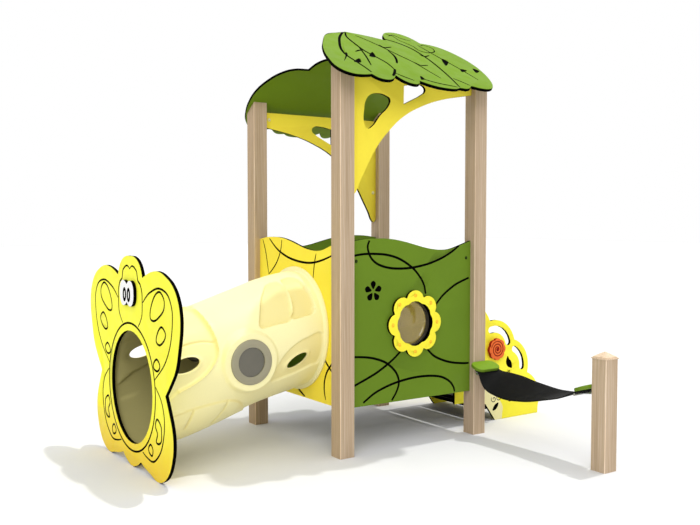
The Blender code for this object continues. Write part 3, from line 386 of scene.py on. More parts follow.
def groove(shape, plane, points, width, depth, taper=0.5, closed=False):
    """The cutter of one routed line on a plate's face. plane turns plane points into the frame,
    with its third axis pointing out of the face."""
    path = smooth_path(points, 6, closed)
    last = len(path) - 1
    rows = []
    for index, spot in enumerate(path):
        before = path[index - 1] if closed else path[max(index - 1, 0)]
        after = path[(index + 1) % len(path)] if closed else path[min(index + 1, last)]
        along = (after - before).normalized()
        side = Vector((-along.y, along.x))
        share = 1.0 if closed else taper + (1 - taper) * math.sin(math.pi * (index / last)) ** 0.5
        half = width / 2 * share
        left, right = spot + side * half, spot - side * half
        rows.append([shape.verts.new(plane @ Vector((p.x, p.y, z)))
                     for p, z in ((left, -depth), (left, PROUD), (right, PROUD), (right, -depth))])
    pairs = list(zip(rows, rows[1:]))
    if closed:
        pairs.append((rows[-1], rows[0]))
    for near, far in pairs:
        for k in range(4):
            shape.faces.new((near[k], near[(k + 1) % 4], far[(k + 1) % 4], far[k]))
    if not closed:
        shape.faces.new(rows[0])
        shape.faces.new(rows[-1][::-1])


def block(shape, near, far):
    """A solid between two rings of points."""
    rings = [[shape.verts.new(spot) for spot in ring] for ring in (near, far)]
    for k in range(len(rings[0])):
        following = (k + 1) % len(rings[0])
        shape.faces.new((rings[0][k], rings[0][following], rings[1][following], rings[1][k]))
    shape.faces.new(rings[0][::-1])
    shape.faces.new(rings[1])


def pocket(shape, plane, points, depth):
    """The cutter of one recessed shape on a plate's face."""
    path = smooth_path(points, 5, True)
    block(shape, *([plane @ Vector((p.x, p.y, z)) for p in path] for z in (-depth, PROUD)))


def add_tool(holder, material, builder, *settings):
    """One more cutter in a collection."""
    shape = bmesh.new()
    builder(shape, *settings)
    bmesh.ops.recalc_face_normals(shape, faces=shape.faces)
    data = mesh_of("tool", shape, [material] if material else [])
    holder.objects.link(bpy.data.objects.new("tool", data))


def carve(target, holder, solver="EXACT"):
    """Take a collection of cutters out of a piece, whose cuts take the cutters' materials."""
    bpy.context.scene.collection.children.link(holder)
    cut = target.modifiers.new("Lines", "BOOLEAN")
    cut.operation = "DIFFERENCE"
    cut.operand_type = "COLLECTION"
    cut.collection = holder
    cut.solver = solver
    if solver == "EXACT":
        cut.material_mode = "TRANSFER"
    bake(target)
    for tool in list(holder.objects):
        bpy.data.objects.remove(tool)
    bpy.data.collections.remove(holder)


def dressed_plate(node, plane, front, back=None, core=None, lines=(), pockets=(), inlays_and_lit_patches=(), body="structure",
                  edge=0.0014, depth=0.0028):
    """A plate cut like its node, with eased edges, a dark core at its rim, routed lines and recessed
    shapes, and shallow patches of another colour: inlays, and patches of painted light."""
    core = core or CORE
    outward = (plane.to_3x3() @ Vector((0, 0, 1))).normalized()
    shape = bmesh.new()
    shape.from_mesh(NODES[node].data)
    bmesh.ops.remove_doubles(shape, verts=shape.verts, dist=0.00001)
    bmesh.ops.dissolve_limit(shape, angle_limit=math.radians(1.0), verts=shape.verts, edges=shape.edges)
    rims = []
    for ridge in shape.edges:
        if len(ridge.link_faces) == 2:
            flat = [abs(face.normal.dot(outward)) > 0.9 for face in ridge.link_faces]
            if flat[0] != flat[1]:
                rims.append(ridge)
    bmesh.ops.bevel(shape, geom=rims, offset=edge, segments=2, profile=0.5, affect="EDGES",
                    clamp_overlap=True)
    shape.normal_update()
    coats = [front, back, core] if back else [front, core]
    for face in shape.faces:
        turned = face.normal.dot(outward)
        if abs(turned) < 0.86:
            face.material_index = len(coats) - 1
        else:
            face.material_index = 1 if back and turned < 0 else 0
    made = piece(node + "_cut", shape, coats, body)
    holder = bpy.data.collections.new("tools")
    for points, width, *more in lines:
        add_tool(holder, core, groove, plane, points, width, depth, *more)
    for points in pockets:
        add_tool(holder, core, pocket, plane, points, depth)
    for points, material in inlays_and_lit_patches:
        add_tool(holder, material, pocket, plane, points, 0.0008)
    if len(holder.objects):
        carve(made, holder)
    made.data.set_sharp_from_angle(angle=math.radians(30))
    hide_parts(node)
    return made


def lathe(shape, profile, place, steps):
    """Turn a profile of radius and height about a matrix's third axis, into a bmesh."""
    rings = []
    for radius, height in profile:
        turns = [2 * math.pi * k / steps for k in range(steps if radius > 1e-6 else 1)]
        spots = [Vector((radius * math.cos(turn), radius * math.sin(turn), height)) for turn in turns]
        rings.append([shape.verts.new(place @ spot) for spot in spots])
    for near, far in zip(rings, rings[1:]):
        for k in range(steps):
            following = (k + 1) % steps
            if len(near) == len(far) == 1:
                continue
            if len(near) == 1:
                shape.faces.new((near[0], far[k], far[following]))
            elif len(far) == 1:
                shape.faces.new((near[k], near[following], far[0]))
            else:
                shape.faces.new((near[k], near[following], far[following], far[k]))


def ring_profile(inner, outer, low, high, ease):
    """A closed ring's section with eased edges."""
    return [(inner, low), (inner, high - ease), (inner + ease * 0.3, high - ease * 0.3), (inner + ease, high),
            (outer - ease, high), (outer - ease * 0.3, high - ease * 0.3), (outer, high - ease), (outer, low),
            (inner, low)]


def dome_nut(shape, place, radius, height, washer=1.35):
    """A domed cap on a thin washer."""
    flange = radius * washer
    lathe(shape, [(0, 0), (flange, 0), (flange, height * 0.12), (flange * 0.94, height * 0.2),
                  (radius, height * 0.2), (radius, height * 0.42), (radius * 0.94, height * 0.62),
                  (radius * 0.76, height * 0.83), (radius * 0.45, height * 0.96), (0, height)], place, 20)


def facing(x, y, z, outward):
    """A matrix at a place with its third axis pointing outward."""
    third = Vector(outward).normalized()
    first_axis = Vector((0, 0, 1)).cross(third)
    if first_axis.length < 0.1:
        first_axis = Vector((1, 0, 0)).cross(third)
    first_axis.normalize()
    second = third.cross(first_axis)
    made = Matrix((first_axis, second, third)).transposed().to_4x4()
    made.translation = Vector((x, y, z))
    return made


def at(x, y, z):
    """A point given from the tower's centre."""
    return Vector((x, y, z)) + CENTRE


def plane_at(x, y, z, right, up=(0, 0, 1)):
    """The plane of a plate's face, with its third axis pointing out of it."""
    right, up = Vector(right), Vector(up)
    made = Matrix((right, up, right.cross(up))).transposed().to_4x4()
    made.translation = at(x, y, z)
    return made


FRONT = plane_at(0, -WALL, 0, (1, 0, 0))
BACK = plane_at(0, WALL, 0, (-1, 0, 0))
LEFT = plane_at(-WALL, 0, 0, (0, -1, 0))
GATE = plane_at(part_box("butterfly_gate")[0].x - CENTRE.x, 0, 0, (0, -1, 0))
EYES = plane_at(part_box("butterfly_eyes")[0].x - CENTRE.x, 0, 0.932, (0, -1, 0))
STAIR_FRONT = plane_at(0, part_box("stair_side_front")[0].y - CENTRE.y, 0, (1, 0, 0))
STAIR_BACK = plane_at(0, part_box("stair_side_back")[1].y - CENTRE.y, 0, (-1, 0, 0))

PENS = {"big": 0.014, "thin": 0.010, "line": 0.0115, "wide": 0.017, "vein": 0.0125, "hair": 0.009,
        "curl": 0.0055}


def drawn(text):
    """Points from a string of pairs in thousandths."""
    return [tuple(int(number) / 1000 for number in pair.split(",")) for pair in text.split()]


def strokes(text):
    """Routed lines, one a row: its pen, with a slash before its taper, and its points."""
    made = []
    for row in text.strip().splitlines():
        pen, points = row.split(maxsplit=1)
        name, _, taper = pen.partition("/")
        made.append((drawn(points), PENS[name], *([float(taper)] if taper else [])))
    return made


def flip(points):
    return [(-x, z) for x, z in points]


def circle(count, radius, x=0.0, z=0.0, first=0.0):
    """Points on a circle, from its top on."""
    turns = [first + 2 * math.pi * k / count for k in range(count)]
    return [(x + radius * math.sin(turn), z + radius * math.cos(turn)) for turn in turns]


def oval(x, z, wide, tall, tilt=0.0, count=12):
    made = []
    for k in range(count):
        turn = 2 * math.pi * k / count
        a, b = wide * math.cos(turn), tall * math.sin(turn)
        made.append((x + a * math.cos(tilt) - b * math.sin(tilt),
                     z + a * math.sin(tilt) + b * math.cos(tilt)))
    return made


# Walls

PETAL = ((0.012, 0.0), (0.030, 0.42), (0.050, 0.36), (0.060, 0.0), (0.050, -0.36), (0.030, -0.42))
petals = []
for number in range(5):
    turn = math.radians(90 + 72 * number)
    petals.append([(-0.291 + reach * math.cos(turn + lean), 0.917 + reach * math.sin(turn + lean))
                   for reach, lean in PETAL])

front_lines = strokes("""
big -318,1205 -330,1167 -310,1112 -261,1071 -181,1047 -90,1040 0,1044 110,1062 210,1092 290,1128 350,1165
big -436,1120 -359,1129 -281,1129 -192,1121 -101,1095 -10,1043 45,990 78,940 92,885
big -436,555 -339,545 -260,526 -190,495 -129,440 -106,380 -124,325 -158,278
big -436,386 -339,421 -260,453 -190,491 -139,523 -93,560
big -360,288 -280,334 -190,365 -98,384 6,395 113,394 211,379 278,346 312,308 322,276
big 160,806 219,865 285,909 340,937 432,968
big 107,553 156,511 222,480 300,457 391,444 436,442
""")
left_lines = strokes("""
big -318,1205 -247,1156 -178,1123 -76,1092 56,1073 182,1072 303,1093 436,1132
thin -404,1198 -365,1113 -329,981
thin -163,1200 -178,1136 -222,1065 -284,1010 -329,981
thin 231,1127 212,1066 197,979
big 298,552 324,520 360,489 400,460
big 425,536 389,501 345,455 320,402 316,345 330,292
big 10,322 51,298 104,275
big -436,520 -405,440 -350,370 -270,310 -190,280
""")
back_lines = [(flip(points), width) for points, width in front_lines[:5]]
back_lines += strokes("big -436,760 -300,800 -120,790 50,720 180,610")

front_lines = [(points, width, 0.85) for points, width in front_lines]
dressed_plate("panel_front", FRONT, GREEN, lines=front_lines, pockets=petals)
dressed_plate("panel_left", LEFT, YELLOW_WALL, lines=left_lines)
dressed_plate("panel_back", BACK, GREEN, lines=back_lines)
dressed_plate("arch_front", FRONT, YELLOW_WALL)
dressed_plate("arch_back", BACK, YELLOW_WALL)


# Butterfly gate

def both(entries):
    made = []
    for points, width in entries:
        made += [(points, width), (flip(points), width)]
    return made


gate_lines = both(strokes("""
line 0,1060 22,1074 51,1076 85,1062 104,1046 118,1005 148,987 172,950 177,915 173,835 150,795 115,762
line 184,894 230,926 287,954 394,981 496,965 549,919 570,850 544,723 467,611 336,515
line 346,481 420,422 455,346 452,263 413,171 346,110 290,88 222,94 158,110
"""))
for ring in (drawn("422,963 468,927 462,880 409,842 341,814 290,820 288,862 325,919 372,955"),
             drawn("436,792 482,763 462,727 410,700 370,706 363,728 392,770"),
             drawn("371,623 403,602 400,580 370,564 330,570 322,590 340,612"),
             drawn("363,320 411,296 420,256 414,217 381,198 349,203 366,245 340,282"),
             drawn("275,173 303,151 291,118 252,128 245,152")):
    gate_lines += [(ring, PENS["line"], 1.0, True), (flip(ring), PENS["line"], 1.0, True)]
mouth = oval(0, TUNNEL_LOW, TUNNEL_RADIUS + 0.001, TUNNEL_RADIUS + 0.001, 0, 40)
gate_lines.append((mouth, PENS["line"], 1.0, True))
dressed_plate("butterfly_gate", GATE, YELLOW_GATE, lines=gate_lines)
eye_lines = [(oval(side * 0.030, -0.008, 0.0165, 0.029, 0, 12), 0.0195, 1.0, True) for side in (-1, 1)]
dressed_plate("butterfly_eyes", EYES, WHITE, lines=eye_lines)


# Leaf roof

def roof_plane(side):
    """The upper face of a roof plate, from where its slope passes over the tower's centre."""
    pitch = math.radians(35)
    outer = WALL - PLATE / 2 + POST / 2
    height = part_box("post_" + side + "_left")[1].z + math.tan(pitch) * (outer - POST)
    turn = Matrix.Rotation(0 if side == "front" else math.pi, 4, "Z") @ Matrix.Rotation(pitch, 4, "X")
    return Matrix.Translation(at(0, 0, height)) @ turn @ Matrix.Translation((0, 0, PLATE + 0.0003))


roof_lines = strokes("""
vein -560,-395 -464,-310 -394,-266 -319,-236 -270,-213
wide/0.6 -271,-204 -340,-285 -388,-356 -446,-479 -458,-564 -434,-641 -411,-707 -400,-760
wide/0.4 -276,-224 -305,-300 -298,-384 -280,-470 -236,-545 -203,-610 -197,-692
vein -292,-420 -304,-500 -322,-580 -348,-668
vein -359,-502 -317,-476 -292,-473
wide -80,-419 -77,-485 -95,-543 -123,-594
wide/0.7 -191,-680 -226,-732 -264,-776
vein -221,-254 -150,-321 -92,-389 -35,-465 28,-546 69,-640 111,-730
vein -106,-350 -82,-382 -18,-359
vein 34,-546 63,-578 126,-564
wide -9,-242 78,-277 146,-338 180,-424 198,-531 200,-682 186,-826
vein 241,-270 279,-354 323,-446 379,-557 432,-689
vein -225,-732 -184,-769 -133,-805
vein -61,-765 34,-802 170,-826
vein 216,-710 257,-744 296,-785
hair 62,-156 105,-178 118,-228 150,-262 186,-300 200,-352 259,-368 330,-336 345,-284 300,-254 262,-272
hair 63,-187 120,-160 159,-196 223,-215
vein 156,-418 185,-436 241,-409
""")
roof_barbs = [drawn(row) for row in """
-440,-528 -445,-562 -521,-656 -470,-580
-385,-592 -402,-645 -452,-648
-225,-474 -242,-545 -285,-540
318,-436 350,-470 282,-536
384,-556 430,-568 368,-600
508,-524 545,-549 492,-585
-44,-732 -34,-768 -70,-784
""".strip().splitlines()]
# The roof plates' undersides take the darker green copy, painted shade.
for side in ("front", "back"):
    dressed_plate("roof_" + side, roof_plane(side), LEAF, LEAF_UNDERSIDE_SHADE, lines=roof_lines, pockets=roof_barbs,
                  edge=0.003, depth=0.003)


# Window

DOME_RIM, DOME_WALL, DOME_SKIN = 0.129, 0.022, 0.003
HEART_REACH = 0.164


def round_seat(node, sign):
    """Where a round node lies against its plate, with its radius and thickness."""
    low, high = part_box(node)
    middle = (low + high) / 2
    seat = facing(middle.x, low.y if sign > 0 else high.y, middle.z, (0, sign, 0))
    return seat, (high.x - low.x) / 2, high.y - low.y


low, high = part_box("window_flower_ring")
window_spot = (low + high) / 2
RING = plane_at(window_spot.x - CENTRE.x, low.y - CENTRE.y, 0, (1, 0, 0))
heart_spots = circle(8, HEART_REACH, 0, window_spot.z)
hearts = [(oval(x, z, 0.0125, 0.0105, -math.pi / 4 * number, 10), GOLD)
          for number, (x, z) in enumerate(heart_spots)]
dressed_plate("window_flower_ring", RING, YELLOW, inlays_and_lit_patches=hearts, edge=0.0025)

seat, lip, rise = round_seat("window_bubble", 1)
outside, inside = [], []
for step in range(17):
    turn = math.pi / 2 * (1 - step / 16)
    for side, skin in ((outside, 0.0), (inside, DOME_SKIN)):
        side.append(((DOME_RIM - skin) * math.cos(turn),
                     DOME_WALL + (rise - DOME_WALL - skin) * math.sin(turn)))
profile = outside + [(DOME_RIM + 0.002, 0.0034), (DOME_RIM + 0.006, 0.003), (lip - 0.001, 0.003), (lip, 0.002),
                     (lip, 0.0), (DOME_RIM - DOME_SKIN, 0.0)] + inside[::-1]
dome = bmesh.new()
lathe(dome, profile, seat, 72)
# The dome's straight wall takes the darker acrylic copy, painted shade.
for face in dome.faces:
    face.material_index = int(face.calc_center_median().y < seat.translation.y + DOME_WALL - 0.001)
piece("window_dome", dome, [SMOKE, SMOKE_WALL_SHADE], smooth=35, instead="window_bubble")

seat, outer, thick = round_seat("window_clamp_ring", 1)
clamp = bmesh.new()
lathe(clamp, ring_profile(0.136, outer, 0.0, thick, 0.0015), seat, 72)
piece("window_clamp", clamp, [BLACK_RUBBER], smooth=35, instead="window_clamp_ring")


# Tunnel, whose outlines are given along it in metres and around it in radians from its top

SOCKET = drawn("""694,-300 692,250 684,570 673,840 666,1030 668,1210 694,1340 745,1460 818,1540 896,1587
    1050,1590 1050,-300""")
CREASE = drawn("990,885 847,898 783,906 730,940 673,1020")
FACETS = ((drawn("""404,1113 380,860 345,640 312,501 262,330 205,330 186,480 184,685 200,962 218,1181
    313,1169"""), 0.021), (drawn("""206,1170 190,1014 176,749 174,504 166,340 110,300 78,400 62,605 56,871
    66,1160 134,1190"""), 0.025))
BROW = drawn("330,2120 326,1996 313,1854 265,1692 203,1590 130,1548 30,1552 30,2030 86,2069 156,2112 236,2134")
FIN = drawn("960,1952 844,1942 734,1972 617,2054 526,2223 449,2575 430,3300 960,3300")
FIN_LINES = (drawn("812,1965 822,2106 836,2300"), drawn("604,2075 622,2260 660,2500"))
PEEP_HOLES = ((0.185, -0.105, 0.070, 0.029, math.radians(28)),
              (0.845, 0.112, 0.078, 0.036, math.radians(14)))
PORTHOLE = 0.487
BOSS_PLANE, BOSS_RADIUS, BOSS_FADE = 0.356, 0.176, 0.024
TUNNEL_SIDES = 420


def axis_height(reach):
    share = reach / TUNNEL_LENGTH
    return TUNNEL_HIGH + (TUNNEL_LOW - TUNNEL_HIGH) * (share - 0.05 * np.sin(2 * np.pi * share))


def eased(share):
    share = np.clip(share, 0, 1)
    return share * share * (3 - 2 * share)


def hump(distance, width):
    share = np.clip(np.abs(distance) / width, 0, 1)
    return (1 - share * share) ** 2


def unrolled(points, steps, closed=False):
    """A drawn line on the unrolled skin, in metres, as its stretches."""
    path = np.array([tuple(p) for p in smooth_path(points, steps, closed)]) * (1.0, TUNNEL_RADIUS)
    return list(zip(path, np.roll(path, -1, 0))) if closed else list(zip(path, path[1:]))


def nearest(spots, stretches):
    best = np.full(len(spots), 9.0)
    for a, b in stretches:
        run = b - a
        t = np.clip(((spots - a) @ run) / max(run @ run, 1e-12), 0, 1)
        best = np.minimum(best, np.linalg.norm(spots - (a + t[:, None] * run), axis=1))
    return best


def line_distance(spots, points):
    return nearest(spots, unrolled(points, 8))


def region_depth(spots, points, soft):
    """0 outside a drawn patch, 1 inside it, with a soft step at its edge."""
    stretches = unrolled(points, 5, True)
    inside = np.zeros(len(spots), bool)
    for a, b in stretches:
        crosses = (a[1] > spots[:, 1]) != (b[1] > spots[:, 1])
        with np.errstate(divide="ignore", invalid="ignore"):
            at_x = (b[0] - a[0]) * (spots[:, 1] - a[1]) / (b[1] - a[1]) + a[0]
        inside ^= crosses & (spots[:, 0] < at_x)
    best = nearest(spots, stretches)
    return eased(np.where(inside, best, -best) / soft + 0.5)


def relief(reach, around):
    """How far the moulded skin stands out from a plain tube."""
    spots = np.stack([reach, around * TUNNEL_RADIUS], 1)
    upper = 0.25 + 0.85 * np.clip(around / 1.1, 0, 1)
    lift = 0.006 * hump(reach - 0.16, 0.26)
    lift = lift - 0.013 * region_depth(spots, SOCKET, 0.012)
    lift += 0.008 * hump(line_distance(spots, SOCKET[:10]), 0.015)
    lift -= 0.006 * hump(line_distance(spots, CREASE), 0.010)
    for outline, depth in FACETS:
        lift -= depth * upper * region_depth(spots, outline, 0.009)
    lift -= 0.009 * region_depth(spots, BROW, 0.011)
    lift += 0.009 * region_depth(spots, FIN, 0.009)
    for line in FIN_LINES:
        lift -= 0.007 * hump(line_distance(spots, line), 0.009)
    height = TUNNEL_RADIUS * np.cos(around) + axis_height(reach)
    for along, drop, wide, tall, tilt in PEEP_HOLES:
        a, b = along - reach, height - axis_height(along) - drop
        c, s = math.cos(tilt), math.sin(tilt)
        out = np.hypot((a * c + b * s) / wide, (-a * s + b * c) / tall)
        gap = (out - 1) * (wide * tall) ** 0.5
        lift += 0.007 * hump(gap - 0.004, 0.014)
    return lift


def tunnel_rows(length):
    """The loft's rings from the flange over the skin to the collar and back along the lining, each
    as distances along, across and up."""
    turn = np.arange(TUNNEL_SIDES) * 2 * math.pi / TUNNEL_SIDES
    around = np.abs(np.arctan2(np.sin(turn), np.cos(turn)))
    flange = [(0.0, 0.3660), (0.0008, 0.3668), (0.0110, 0.3668), (0.0118, 0.3660), (0.0122, 0.3490),
              (0.0150, 0.3462), (0.0180, 0.3440)]
    collar = [(length - 0.0135, 0.3438), (length - 0.0120, 0.3458), (length - 0.0008, 0.3458), (length, 0.3452)]

    def plain(reach, size):
        return np.stack([np.full(TUNNEL_SIDES, reach), size * np.sin(turn),
                         size * np.cos(turn) + axis_height(reach)], 1)

    def lift(reach):
        ends = min(np.clip((reach - 0.016) / 0.016, 0, 1), np.clip((length - 0.014 - reach) / 0.016, 0, 1))
        return relief(np.full(TUNNEL_SIDES, reach), around) * ends

    rows = [plain(*spot) for spot in flange]
    for reach in np.linspace(0.022, length - 0.016, 204):
        row = plain(reach, TUNNEL_RADIUS + lift(reach))
        y, z = row[:, 1], row[:, 2]
        boss = eased((BOSS_RADIUS - np.hypot(reach - PORTHOLE, z - axis_height(PORTHOLE))) / BOSS_FADE)
        row[:, 1] = np.where(np.abs(y) > 0.15, np.sign(y) * (np.abs(y) * (1 - boss) + BOSS_PLANE * boss), y)
        rows.append(row)
    rows += [plain(*spot) for spot in collar]
    for reach in np.linspace(length, 0.0, 96):
        rows.append(plain(reach, TUNNEL_RADIUS - TUNNEL_WALL + np.minimum(lift(reach), 0.0)))
    return rows


def vectors(items, name):
    """One vector for each mesh element."""
    flat = np.zeros(len(items) * 3)
    items.foreach_get(name, flat)
    return flat.reshape(-1, 3)


def tunnel_coats(mesh, end):
    """The lining's material, a painted shade copy of the cream, and the painted shade where the skin is
    recessed or creased.
    """
    centres, normals = vectors(mesh.polygons, "center"), vectors(mesh.polygons, "normal")
    y, z = centres[:, 1] - CENTRE.y, centres[:, 2] - axis_height(end - centres[:, 0])
    radius = np.hypot(y, z)
    inward = -(normals[:, 1] * y + normals[:, 2] * z) / np.maximum(radius, 1e-6)
    # The lining's faces take the darker copy of the cream: painted shade.
    lining = (inward > 0.35) & (radius < TUNNEL_RADIUS - 0.006)
    mesh.polygons.foreach_set("material_index", lining.astype(np.int32))
    co = vectors(mesh.vertices, "co")
    reach = end - co[:, 0]
    around = np.arctan2(np.abs(co[:, 1] - CENTRE.y), co[:, 2] - axis_height(reach))
    spots = np.stack([reach, around * TUNNEL_RADIUS], 1)
    # Painted shade: darker in the socket, the facets and the brow, and along the crease, the socket's edge and
    # the fin lines.
    recess_shade = 0.6 * region_depth(spots, SOCKET, 0.012) * np.clip(1 - (reach - 0.67) / 0.16, 0, 1)
    for outline, depth in FACETS:
        recess_shade = np.maximum(recess_shade, region_depth(spots, outline, 0.010))
    recess_shade = np.maximum(recess_shade, 0.75 * region_depth(spots, BROW, 0.012))
    edges = [(CREASE, 0.012), (SOCKET[:10], 0.010), (FIN[:6], 0.009)] + [(line, 0.012) for line in FIN_LINES]
    for line, width in edges:
        recess_shade = np.maximum(recess_shade, hump(line_distance(spots, line), width))
    mesh.attributes.new("recess_shade", "FLOAT", "POINT").data.foreach_set("value", np.clip(recess_shade, 0, 1))


def tunnel():
    """The moulded tunnel: skin, lining, flange and collar in one loft, then bored."""
    low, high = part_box("tunnel_body")
    rows = tunnel_rows(high.x - low.x)
    sides, count = TUNNEL_SIDES, len(rows)
    faces = [(r * sides + k, r * sides + (k + 1) % sides, (r + 1) % count * sides + (k + 1) % sides,
              (r + 1) % count * sides + k) for r in range(count) for k in range(sides)]
    spots = np.concatenate(rows) * (-1, 1, 1) + (high.x, CENTRE.y, 0)
    data = bpy.data.meshes.new("loft")
    data.from_pydata(spots.tolist(), [], faces)
    shape = bmesh.new()
    shape.from_mesh(data)
    made = piece("tunnel_skin", shape, [CREAM, LINING_SHADE], instead="tunnel_body")
    holder = bpy.data.collections.new("tools")
    for sign in (-1, 1):
        place = facing(high.x - PORTHOLE, CENTRE.y, axis_height(PORTHOLE), (0, sign, 0))
        profile = [(0, 0.2), (0.092, 0.2), (0.092, 0.3476), (0.1234, 0.3476), (0.1234, 0.42), (0, 0.42)]
        add_tool(holder, None, lathe, profile, place, 72)
        for along, drop, wide, tall, tilt in PEEP_HOLES:
            outline = oval(high.x - along, axis_height(along) + drop, wide, tall, tilt, 48)
            ends = [CENTRE.y + sign * 0.1, CENTRE.y + sign * 0.5]
            add_tool(holder, None, block, *([(x, y, z) for x, z in outline] for y in ends))
    carve(made, holder, "MANIFOLD")
    slim = made.modifiers.new("Slim", "DECIMATE")
    slim.ratio = 0.36
    bake(made)
    tunnel_coats(made.data, high.x)
    made.data.shade_smooth()
    made.data.set_sharp_from_angle(angle=math.radians(52))


tunnel()
for side, sign in (("front", -1), ("back", 1)):
    seat, outer, thick = round_seat("porthole_ring_" + side, sign)
    shape = bmesh.new()
    lathe(shape, ring_profile(0.080, outer - 0.0006, 0.0, thick, 0.0022), seat, 72)
    piece("porthole_clamp_" + side, shape, [GREY], smooth=35, instead="porthole_ring_" + side)
    seat, outer, thick = round_seat("porthole_pane_" + side, sign)
    shape = bmesh.new()
    lathe(shape, [(0, 0), (outer, 0), (outer, thick), (0, thick)], seat, 64)
    piece("porthole_glazing_" + side, shape, [PANE], smooth=30, instead="porthole_pane_" + side)


# Stair

def curl(x, z, size, turn):
    made = []
    for k in range(14):
        angle = turn + 0.55 * k
        reach = size * (1 - k / 16)
        made.append((x + reach * math.cos(angle), z + reach * math.sin(angle)))
    return made


leaf = drawn("949,416 933,381 942,352 962,338 987,333 987,360 978,381 961,396")
leaf_low = drawn("866,112 839,104 822,86 815,64 838,66 856,80 866,96")
# The pale patch on each stair side is painted light: a pool of light laid on the yellow as a colour.
pale = drawn("730,215 800,185 866,140 904,85 902,40 884,-10 760,-10 700,100")
curls = [(curl(*spot), PENS["curl"])
         for spot in ((0.825, 0.140, 0.024, 2.6), (0.872, 0.146, 0.022, 2.8), (0.975, 0.128, 0.024, 2.9),
                      (1.025, 0.122, 0.022, 2.8), (0.960, 0.312, 0.018, 2.4), (0.700, 0.330, 0.024, 2.6))]
curls += strokes("""
curl 905,318 930,306 965,311
thin 612,640 640,560 640,450 605,360
""")
for side, plane, turned in (("front", STAIR_FRONT, list), ("back", STAIR_BACK, flip)):
    dressed_plate("stair_side_" + side, plane, YELLOW, lines=[(turned(path), width) for path, width in curls],
                  pockets=[turned(leaf), turned(leaf_low)], inlays_and_lit_patches=[(turned(pale), PALE_AND_PAINTED_LIGHT)])

low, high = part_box("flower_spinner")
hub = (low + high) / 2
spin_plane = plane_at(hub.x - CENTRE.x, low.y - CENTRE.y, hub.z, (1, 0, 0))
spiral = []
for k in range(44):
    turn = 0.36 * k
    reach = 0.012 + 0.044 * k / 43
    spiral.append((reach * math.cos(turn), reach * math.sin(turn)))
notches = zip(circle(8, 0.059, first=math.pi / 8), circle(8, 0.0655, first=math.pi / 8))
spin_lines = [(spiral, 0.0072, 0.6)] + [(list(ends), 0.003) for ends in notches]
dressed_plate("flower_spinner", spin_plane, ORANGE, core=ORANGE_CORE, lines=spin_lines,
              body=frame["record"]["behaviour"]["joints"][0]["child"], edge=0.0022)

TREAD_LINES = 9
for name in ("tread_upper", "tread_lower"):
    low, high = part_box(name)
    left, right = low.x - CENTRE.x + 0.022, high.x - CENTRE.x - 0.022
    near, far = low.y - CENTRE.y + 0.025, high.y - CENTRE.y - 0.025
    lines = []
    for k in range(TREAD_LINES):
        x = left + (right - left) * k / (TREAD_LINES - 1)
        lines.append(([(x, near), (x, (near + far) / 2), (x, far)], 0.007, 1.0))
    dressed_plate(name, plane_at(0, 0, high.z, (1, 0, 0), (0, 1, 0)), TREAD, lines=lines,
                  depth=0.0022)


# Deck

DECK_ROWS, DECK_HOLE = 30, 0.0062


def perforated_deck():
    """The deck's sheet: a grid of eight-sided holes inside a plain border over the rails."""
    low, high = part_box("deck_sheet")
    rail_low, rail_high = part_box("deck_rail_left")
    inner = (rail_high.y - rail_low.y) / 2
    edge = (high.x - low.x) / 2
    pitch = 2 * inner / DECK_ROWS
    half = pitch / 2
    shape = bmesh.new()
    grid = {}

    def corner(x, y, height):
        key = (round(x, 5), round(y, 5), height)
        if key not in grid:
            grid[key] = shape.verts.new(at(x, y, height))
        return grid[key]

    around = [(1, 0), (1, 1), (0, 1), (-1, 1), (-1, 0), (-1, -1), (0, -1), (1, -1)]
    round_hole = oval(0, 0, DECK_HOLE, DECK_HOLE, 0, 8)
    for row in range(DECK_ROWS):
        for column in range(DECK_ROWS):
            x, y = column * pitch - inner + half, row * pitch - inner + half
            holes = []
            for height in (low.z, high.z):
                hole = [shape.verts.new(at(x + a, y + b, height)) for a, b in round_hole]
                rim = [corner(x + a * half, y + b * half, height) for a, b in around]
                for k in range(8):
                    shape.faces.new((hole[k], rim[k], rim[k - 7], hole[k - 7]))
                holes.append(hole)
            for k in range(8):
                shape.faces.new((holes[0][k], holes[0][k - 7], holes[1][k - 7], holes[1][k]))
    steps = [half * k - inner for k in range(2 * DECK_ROWS + 1)]
    for sx, sy in ((1, 0), (-1, 0), (0, 1), (0, -1)):
        def spot(out, along, height):
            return corner(sx * out, along, height) if sx else corner(along, sy * out, height)

        for a, b in zip(steps, steps[1:]):
            for height in (low.z, high.z):
                shape.faces.new([spot(inner, a, height), spot(edge, a, height), spot(edge, b, height),
                                 spot(inner, b, height)])
        sides = [((edge, a), (edge, b)) for a, b in zip(steps, steps[1:])]
        for start, end in sides + [((inner, a), (edge, a)) for a in (-inner, inner)]:
            shape.faces.new([spot(*start, low.z), spot(*start, high.z), spot(*end, high.z), spot(*end, low.z)])
    piece("deck_perforated", shape, [DECK], instead="deck_sheet")


perforated_deck()


# Sling

